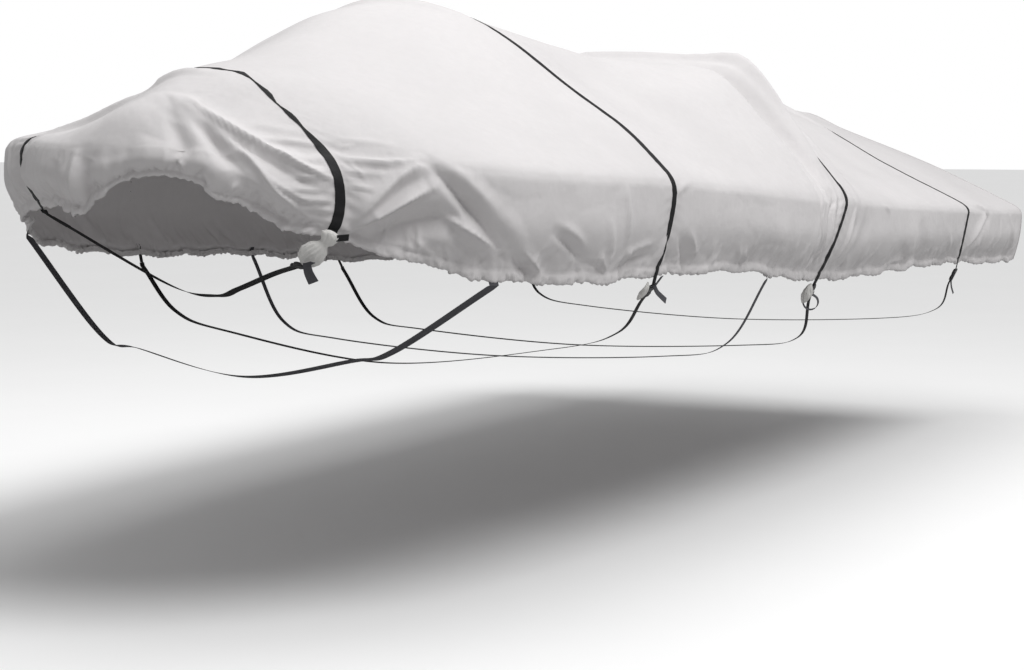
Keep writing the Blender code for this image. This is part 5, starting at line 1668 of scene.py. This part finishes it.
class Finish:
    """A material being built: its shader, its nodes and where its patterns are read."""

    def __init__(self, name, colour, roughness):
        self.mat = bpy.data.materials.new(name)
        self.mat.use_nodes = True
        self.mat.diffuse_color = colour
        self.tree = self.mat.node_tree
        self.shader = self.tree.nodes["Principled BSDF"]
        self.set(Base_Color=colour, Roughness=roughness)
        places = add_node(self.tree, "TexCoord").outputs
        self.solid = places["Object"]
        self.flat = places["UV"]
        self.height = None

    def set(self, **inputs):
        feed(self.tree, self.shader, **inputs)

    def group(self, group, source, **values):
        node = add_node(self.tree, "Group")
        node.node_tree = group
        return feed(self.tree, node, Vector=source, **values).outputs[0]

    def noise(self, scale, detail, roughness):
        return add_node(self.tree, "TexNoise", Vector=self.solid, Scale=scale, Detail=detail,
                        Roughness=roughness).outputs[0]

    def mix(self, mask, first, second):
        """Mixes two colours, given as sockets or values, by a mask."""
        node = add_node(self.tree, "Mix")
        node.data_type = "RGBA"
        for k, value in ((0, mask), (6, first), (7, second)):
            put(self.tree, node.inputs[k], value)
        return node.outputs[2]

    def bump(self, height, distance, strength):
        """Adds one more layer of relief."""
        node = add_node(self.tree, "Bump", Strength=strength, Distance=distance, Height=height)
        if self.height is not None:
            feed(self.tree, node, Normal=self.height)
        self.height = node.outputs[0]
        self.set(Normal=self.height)

    def range(self, value, low, high):
        """A patchy mask spread from a low to a high value."""
        return add_node(self.tree, "MapRange", Value=value, From_Min=0.3, From_Max=0.7, To_Min=low,
                        To_Max=high).outputs[0]


def shade(colour, factor):
    """A lighter or darker version of a colour."""
    return tuple(min(part * factor, 1.0) for part in colour[:3]) + (1.0,)


def cloth_finish(name, looks, groups):
    """Coated polyester: a tight plain weave with a dull proofed face, stiff enough to crinkle."""
    cloth = Finish(name, looks.colour, 0.72)
    worn = cloth.group(groups["patches"], cloth.solid, Size=2.6, Low=0.0, High=1.0)
    dust = cloth.group(groups["patches"], cloth.solid, Size=34.0, Low=0.0, High=0.5)
    base = cloth.mix(worn, shade(looks.colour, 0.965), shade(looks.colour, 1.03))
    cloth.set(Base_Color=cloth.mix(dust, base, shade(looks.colour, 0.93)),
              Roughness=cloth.range(worn, 0.66, 0.80), Sheen_Weight=0.12, Sheen_Roughness=0.5)
    cloth.bump(cloth.noise(scale=5.5, detail=4.0, roughness=0.5), distance=0.010, strength=0.55)
    cloth.bump(cloth.noise(scale=26.0, detail=5.0, roughness=0.55), distance=0.0022, strength=0.55)
    weave = cloth.group(groups["weave"], cloth.flat, Across=0.0016, Along=0.0016)
    cloth.bump(weave, distance=0.00025, strength=0.8)
    return cloth.mat


def webbing_finish(name, faded, looks, groups):
    """Black polyester webbing: close ribs across it and a row of stitches along each edge. faded is
    how many times lighter than the sewn webbing it is."""
    colour = shade(looks.colour, faded)
    band = Finish(name, colour, 0.62)
    ribs = band.group(groups["weave"], band.flat, Across=0.0026, Along=0.0018)
    worn = band.group(groups["patches"], band.solid, Size=18.0, Low=0.0, High=0.8)
    stitches = band.group(groups["stitches"], band.flat, Off_middle=0.0125, Stitch=0.0042, Thread=0.0005)
    base = band.mix(ribs, shade(colour, 0.7), shade(colour, 1.3))
    base = band.mix(worn, base, shade(colour, 1.5))
    band.set(Base_Color=band.mix(stitches, base, shade(colour, 2.2)),
             Roughness=band.range(worn, 0.55, 0.72), Specular_IOR_Level=0.25)
    band.bump(ribs, distance=0.0004, strength=0.8)
    band.bump(stitches, distance=0.0005, strength=0.9)
    return band.mat


def plastic_finish(looks, groups):
    """Moulded acetal: satin black with a fine grain and scuffs."""
    shell = Finish("moulded plastic", looks.colour, 0.42)
    scuffs = shell.group(groups["patches"], shell.solid, Size=160.0, Low=0.0, High=0.6)
    shell.set(Base_Color=shell.mix(scuffs, looks.colour, shade(looks.colour, 1.9)),
              Roughness=shell.range(scuffs, 0.36, 0.55))
    shell.bump(shell.noise(scale=1400.0, detail=2.0, roughness=0.5), distance=0.00008, strength=0.6)
    return shell.mat


def piping_finish(looks, groups):
    """The piped seam: the cover's own cloth rolled over a cord."""
    cord = Finish("seam piping", looks.colour, 0.75)
    weave = cord.group(groups["weave"], cord.flat, Across=0.0012, Along=0.0012)
    cord.set(Base_Color=cord.mix(weave, shade(looks.colour, 0.86), looks.colour))
    cord.bump(weave, distance=0.0003, strength=0.8)
    return cord.mat


def floor_finish(looks, groups):
    """Pale painted floor, darker for the light that it throws back than for the camera."""
    floor = Finish("pale floor", looks.floor, 0.9)
    worn = floor.group(groups["patches"], floor.solid, Size=0.8, Low=0.0, High=1.0)
    base = floor.mix(worn, looks.floor, shade(looks.floor, 0.985))
    seen = add_node(floor.tree, "LightPath").outputs["Is Camera Ray"]
    floor.set(Base_Color=floor.mix(seen, shade(looks.floor, looks.bounce), base))
    return floor.mat


# ---------------------------------------------------------------- what the operators share
MADE = {}                     # what is worked out once and shared: both sides, finishes and feet


def sides(context):
    """Both sides of the draped cloth, worked out once."""
    if "sides" not in MADE:
        MADE["sides"] = joined_sides(context.scene.boat_cover.cloth)
    return MADE["sides"]


def node_groups():
    """The patterns that the finishes share, built once."""
    if "groups" not in MADE:
        MADE["groups"] = {"weave": woven_threads(), "patches": soft_patches(), "stitches": stitch_row()}
    return MADE["groups"]


def finish_of(name, build, looks, *first):
    """A finish by name, built once."""
    if name not in MADE:
        MADE[name] = build(*first, looks, node_groups())
    return MADE[name]


def stands_for(obj, slot, *nodes):
    """Says of a piece that it rides on the body and which nodes it replaces; slot is not used."""
    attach(obj, BODY)
    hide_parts(*nodes)


class COVER_OT_cloth(bpy.types.Operator):
    """Drape the cover's deck and skirt, with its creases and gathered hem"""
    bl_idname = "boat_cover.add_cloth"
    bl_label = "Cloth"

    def execute(self, context):
        looks = context.scene.boat_cover.cloth
        port, lee = sides(context)
        obj = make_cloth(port, lee, looks, finish_of("cloth", cloth_finish, looks, "cover cloth"))
        stands_for(obj, "cloth", "cover")
        MADE["cover"] = obj
        return {"FINISHED"}


class COVER_OT_transom(bpy.types.Operator):
    """Add the panel at the transom and its piped seam"""
    bl_idname = "boat_cover.add_transom"
    bl_label = "Transom panel"

    def execute(self, context):
        looks = context.scene.boat_cover.cloth
        port, lee = sides(context)
        panel = make_transom(port, lee, looks, finish_of("cloth", cloth_finish, looks, "cover cloth"))
        seam = make_stern_seam(port, lee, finish_of("piping", piping_finish, looks))
        for obj in (panel, seam):
            stands_for(obj, "cloth", "cover")
        return {"FINISHED"}


class COVER_OT_webbing(bpy.types.Operator):
    """Sew the webbing over the deck"""
    bl_idname = "boat_cover.add_webbing"
    bl_label = "Webbing"

    def execute(self, context):
        looks = context.scene.boat_cover.webbing
        port, lee = sides(context)
        mat = finish_of("webbing", webbing_finish, looks, "webbing", 1.0)
        MADE["feet"] = {}
        for strap in DECK_STRAPS:
            obj, MADE["feet"][strap.station] = make_deck_strap(strap, port, lee, mat)
            stands_for(obj, "webbing", strap.name)
        return {"FINISHED"}


class COVER_OT_ties(bpy.types.Operator):
    """Add the tie-downs below the hull, with their buckles, free ends and the gathered bundle"""
    bl_idname = "boat_cover.add_ties"
    bl_label = "Tie-downs"

    def execute(self, context):
        looks = context.scene.boat_cover
        port, lee = sides(context)
        webbing = finish_of("webbing", webbing_finish, looks.webbing, "webbing", 1.0)
        faded = finish_of("faded", webbing_finish, looks.webbing, "faded webbing", looks.webbing.faded)
        master = model_buckle(looks.buckle, finish_of("plastic", plastic_finish, looks.buckle))
        for tie in TIES:
            if tie.buckled:
                add_buckled_tie(tie, master, looks, webbing, faded)
            else:
                obj = make_plain_tie(tie, port, lee, looks.webbing, faded)
                stands_for(obj, "webbing", tie.name)
        bpy.data.objects.remove(master, do_unlink=True)
        return {"FINISHED"}


def add_buckled_tie(tie, master, looks, webbing, faded):
    """A tie from the lee foot of the deck webbing to a buckle at its port foot."""
    (start, way, face), (lee, lee_way, _) = MADE["feet"][tie.station]
    foot, foot_way = start, way
    finish = finish_of("gather", cloth_finish, looks.gather, "gathered cloth")
    if tie.name == "bow_tie":
        start = start - way * GATHER_UP + face * GATHER_OUT
        gather_way = (Vector(to_part(*GATHER_TO)) - start).normalized()
        bundle, start, way = make_gather("hem_gather", GATHER, GATHER_LENGTH, start, way, gather_way, face,
                                         looks.gather, finish)
        stands_for(bundle, "gather", "hem_gather")
    way = (hull_points(tie, start, lee)[0] - start).normalized()
    face = way.cross(across_of(tie)).normalized()
    centre = start + way * (BUTT_GAP + BUCKLE_LENGTH / 2)
    stands_for(placed_copy(master, tie.name + "_clasp", centre, way, face), "plastic", tie.name + "_buckle")
    stands_for(make_tail(tie, centre, way, face, faded), "webbing", tie.name + "_tail")
    for puff in [row for row in PUFFS if row.tie == tie.name]:
        table = [Gather(row.way, puff.radius * row.radius) for row in PUFF]
        spot = foot - foot_way * puff.up + Vector(puff.off)
        small, _, _ = make_gather(tie.name + "_puff", table, puff.length, spot, foot_way, way, face,
                                  looks.gather, finish)
        stands_for(small, "gather", "cover")
    first = start + way * (2 * BUTT_GAP + BUCKLE_LENGTH)
    last = lee + lee_way * BUTT_GAP
    bends = [first + way * STRAIGHT_END] + hull_points(tie, first, last) + [last + lee_way * STRAIGHT_END]
    curve = smooth_line(bends, tie_steps(looks.webbing))
    sections = matched(line_sections([first] + curve + [last], tie.width, across_of(tie)))
    stands_for(ribbon(tie.name, sections, webbing), "webbing", tie.name)
    if tie.name == "bow_tie":
        add_bow_pads(tie, foot, foot_way, curve, webbing)


def add_bow_pads(tie, foot, way, curve, webbing):
    """The folded end of the bow webbing that sticks out aft, and the doubled part on the lee side."""
    line = [foot + FOLD_OFF + FOLD_WAY * reach for reach in FOLD_AT]
    fold = ribbon("bow_strap_fold", matched(line_sections(line, FOLD_WIDTH, way)), webbing)
    stands_for(fold, "webbing", "bow_strap")
    passed = 0.0
    line = []
    for nearer, farther in zip(curve[-1:0:-1], curve[-2::-1]):
        passed += (farther - nearer).length
        if PAD_AT[0] < passed < PAD_AT[1]:
            line.append(farther)
    face = way.cross(AFT).normalized()
    line = [point - face * (2 * WEBBING) for point in line]
    pad = ribbon("bow_tie_pad", matched(line_sections(line, PAD_WIDTH, across_of(tie))), webbing)
    stands_for(pad, "webbing", "bow_tie")


class COVER_OT_stage(bpy.types.Operator):
    """Add the floor, the lights and the camera"""
    bl_idname = "boat_cover.add_stage"
    bl_label = "Stage"

    def execute(self, context):
        looks = context.scene.boat_cover.stage
        deselect()
        bpy.ops.mesh.primitive_plane_add(size=FLOOR_SIZE, location=(0.0, 0.0, GROUND_LEVEL))
        floor = context.object
        floor.name = "floor"
        bpy.ops.object.transform_apply(location=True, rotation=False, scale=False)
        floor.data.materials.append(finish_of("floor", floor_finish, looks))
        add_lights(looks)
        world = bpy.data.worlds.new("studio")
        world.use_nodes = True
        tree = world.node_tree
        seen = add_node(tree, "LightPath").outputs["Is Camera Ray"]
        backdrop = add_node(tree, "MapRange", Value=seen, To_Min=looks.ambient, To_Max=1.0)
        feed(tree, tree.nodes["Background"], Strength=backdrop.outputs[0], Color=(1.0, 1.0, 1.0, 1.0))
        context.scene.world = world
        context.scene.view_settings.view_transform = "Standard"
        camera = bpy.data.cameras.new("camera")
        camera.lens = CAMERA_LENS
        camera.sensor_width = SENSOR
        camera.clip_end = CAMERA_REACH
        eye = linked(bpy.data.objects.new("camera", camera))
        eye.location = CAMERA_PLACE
        eye.rotation_euler = (math.pi / 2 + CAMERA_PITCH, 0.0, CAMERA_TURN)
        context.scene.camera = eye
        return {"FINISHED"}


def add_lights(looks):
    """A large square light above, aimed at the cover, and a wide sun."""
    lamp = bpy.data.lights.new("overhead", "AREA")
    lamp.shape = "SQUARE"
    lamp.size = OVERHEAD_SIZE
    lamp.energy = looks.overhead
    above = linked(bpy.data.objects.new("overhead", lamp))
    above.location = OVERHEAD_PLACE
    above.rotation_euler = (Vector(OVERHEAD_AT) - Vector(OVERHEAD_PLACE)).to_track_quat("-Z", "Y").to_euler()
    sun = bpy.data.lights.new("soft_sun", "SUN")
    sun.energy = looks.key
    sun.angle = SUN_ANGLE
    place = linked(bpy.data.objects.new("soft_sun", sun))
    place.rotation_euler = Vector(SUN_FROM).to_track_quat("Z", "Y").to_euler()


class COVER_PT_panel(bpy.types.Panel):
    """Buttons that add each group of pieces, with their sizes and colours"""
    bl_label = "Boat Cover"
    bl_idname = "COVER_PT_panel"
    bl_space_type = "VIEW_3D"
    bl_region_type = "UI"
    bl_category = "Boat Cover"

    def draw(self, context):
        looks = context.scene.boat_cover
        for operator, groups in ((COVER_OT_cloth, (looks.cloth,)), (COVER_OT_transom, ()),
                                 (COVER_OT_webbing, (looks.webbing,)),
                                 (COVER_OT_ties, (looks.buckle, looks.gather)),
                                 (COVER_OT_stage, (looks.stage,))):
            box = self.layout.box()
            box.operator(operator.bl_idname)
            for values in groups:
                for name in values.__annotations__:
                    box.prop(values, name)


CLASSES = (ClothLooks, WebbingLooks, BuckleLooks, GatherLooks, StageLooks, CoverLooks, COVER_OT_cloth,
           COVER_OT_transom, COVER_OT_webbing, COVER_OT_ties, COVER_OT_stage, COVER_PT_panel)


def register():
    for cls in CLASSES:
        bpy.utils.register_class(cls)
    bpy.types.Scene.boat_cover = PointerProperty(type=CoverLooks)


def unregister():
    del bpy.types.Scene.boat_cover
    for cls in reversed(CLASSES):
        bpy.utils.unregister_class(cls)


def main():
    register()
    bpy.ops.boat_cover.add_cloth()
    bpy.ops.boat_cover.add_transom()
    bpy.ops.boat_cover.add_webbing()
    bpy.ops.boat_cover.add_ties()
    bpy.ops.boat_cover.add_stage()


if __name__ == "__main__":
    main()
